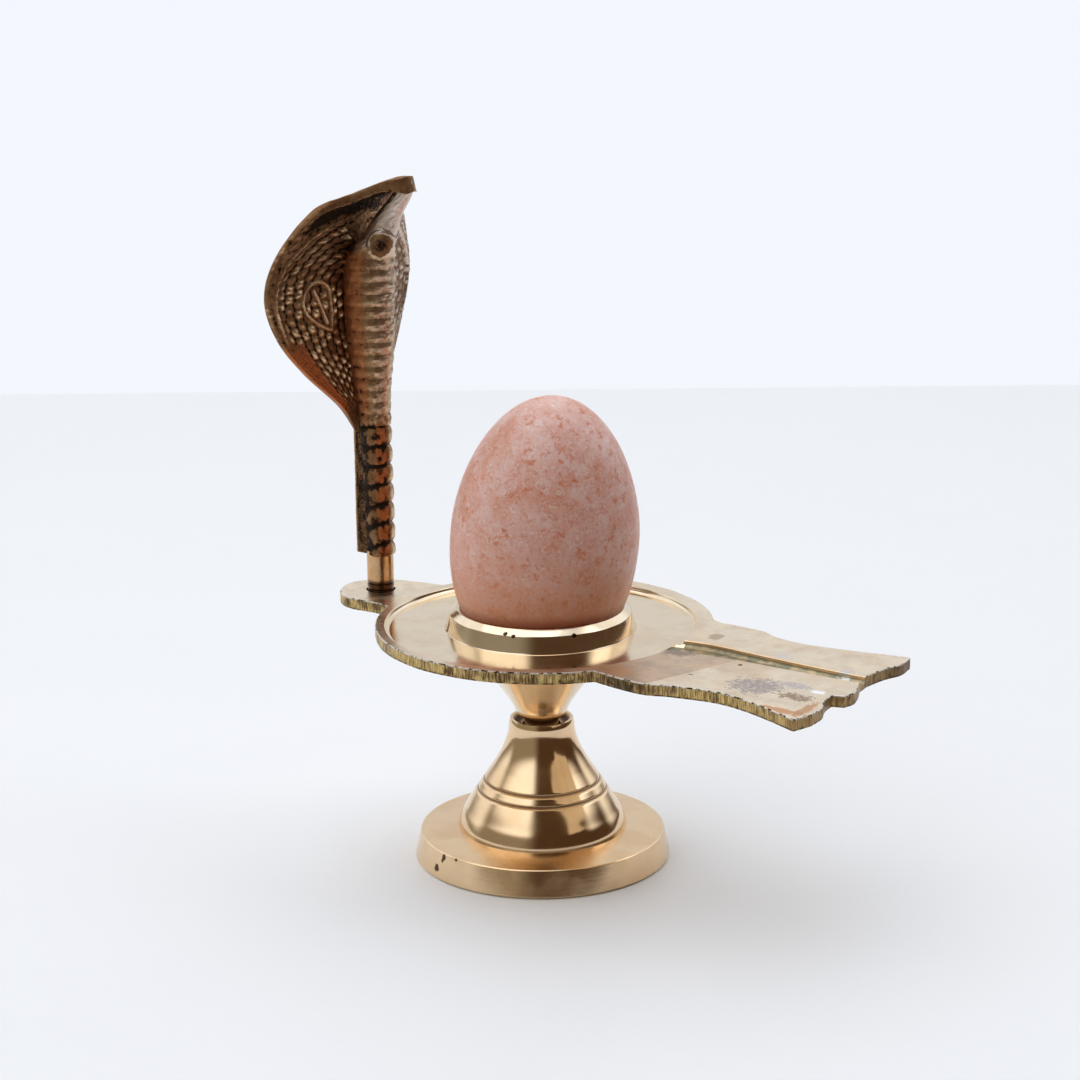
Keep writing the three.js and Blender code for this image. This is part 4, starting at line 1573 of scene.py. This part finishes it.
def pin_mesh():
    inside = PIN_RADIUS - PIN_GROOVE
    profile = [(0, PLATE_BOTTOM - PLATE_TOP), (PIN_RADIUS, PLATE_BOTTOM - PLATE_TOP)]
    for low, high in PIN_LINES:
        profile += [(PIN_RADIUS, low), (inside, low + 0.12), (inside, high - 0.12), (PIN_RADIUS, high)]
    profile += [(PIN_RADIUS, BODY_FOOT + 1), (0, BODY_FOOT + 1)]
    form = turned(profile, 96)
    bmesh.ops.translate(form, verts=form.verts, vec=PIN_PLACE)
    return mesh_of(form, "pin")


# %% [markdown]
# The bronze is dark brown in its hollows, reddish on its open surfaces and golden where fingers rub it. The
# height kept in each point decides between them, and clouds of red and black break the rule here and there.
# The kept values also carry painted light: shade under the hood's visor, highlights on the far lobe, on the
# rings' far side and on the belly's crest, and an orange reflection on the rings that face the camera.

# %% Cobra finish
cobra_finish, tree, place = new_material("old bronze")
# This value holds wear and patina, and also painted shade under the visor and painted highlights on the far
# lobe, the rings' far side and the belly's crest.
wear_and_painted_light = add_node(tree, "ShaderNodeAttribute", attribute_name="wear_and_painted_light").outputs["Fac"]
cloud = noise_of(tree, place, 3.0, 6.0, 0.6)
fine = noise_of(tree, place, 0.5, 5.0, 0.7)
level = calculate(tree, "ADD", wear_and_painted_light, calculate(tree, "MULTIPLY_ADD", fine, 0.9, -0.45))
# The tone also carries a painted orange reflection on the rings and the pale painted highlight of the far
# lobe.
tone = add_node(tree, "ShaderNodeAttribute", attribute_name="tone").outputs["Fac"]
base = mixed(tree, remapped(tree, cloud, 0.4, 0.65), colour(0.24, 0.12, 0.055), colour(0.34, 0.20, 0.10))
base = mixed(tree, remapped(tree, tone, 0.1, 0.9), base, colour(0.48, 0.17, 0.06))
base = mixed(tree, remapped(tree, level, 0.02, 0.28, 1.0, 0.0), base, colour(0.03, 0.018, 0.011))
gold = mixed(tree, remapped(tree, tone, -0.2, -0.9), colour(0.68, 0.48, 0.29), colour(0.66, 0.55, 0.48))
base = mixed(tree, remapped(tree, level, 0.45, 1.0), base, gold)
roughness = remapped(tree, level, 0.1, 0.9, 0.65, 0.34)
finish_metal(tree, base, roughness, fine, 0.05)

pin_finish, tree, place = new_material("pin brass")
pin_brass = colour(0.62, 0.36, 0.17)
base = use_group(tree, brass_colour, "Color", Vector=place, Clean=pin_brass, Age=0.4, Dullness=0.4)
x, y, z = axes_of(tree, place)
dirt_and_shade = between(tree, z, PLATE_TOP + 1.9, PLATE_TOP + 2.6, 0.85, 0.0)
base = mixed(tree, dirt_and_shade, base, colour(0.04, 0.02, 0.01))
roughness = film_roughness(tree, place, 3.0, 0.12, 0.2)
finish_metal(tree, base, roughness, noise_of(tree, place, 0.4), 0.01)

for name, mesh in (("cobra_hood", hood_mesh()), ("cobra_body", body_mesh()), ("cobra_bar", bar_mesh())):
    make_piece(name, mesh, "naga", [cobra_finish], sharp=60.0)
make_piece("cobra_pin", pin_mesh(), "naga", [pin_finish])
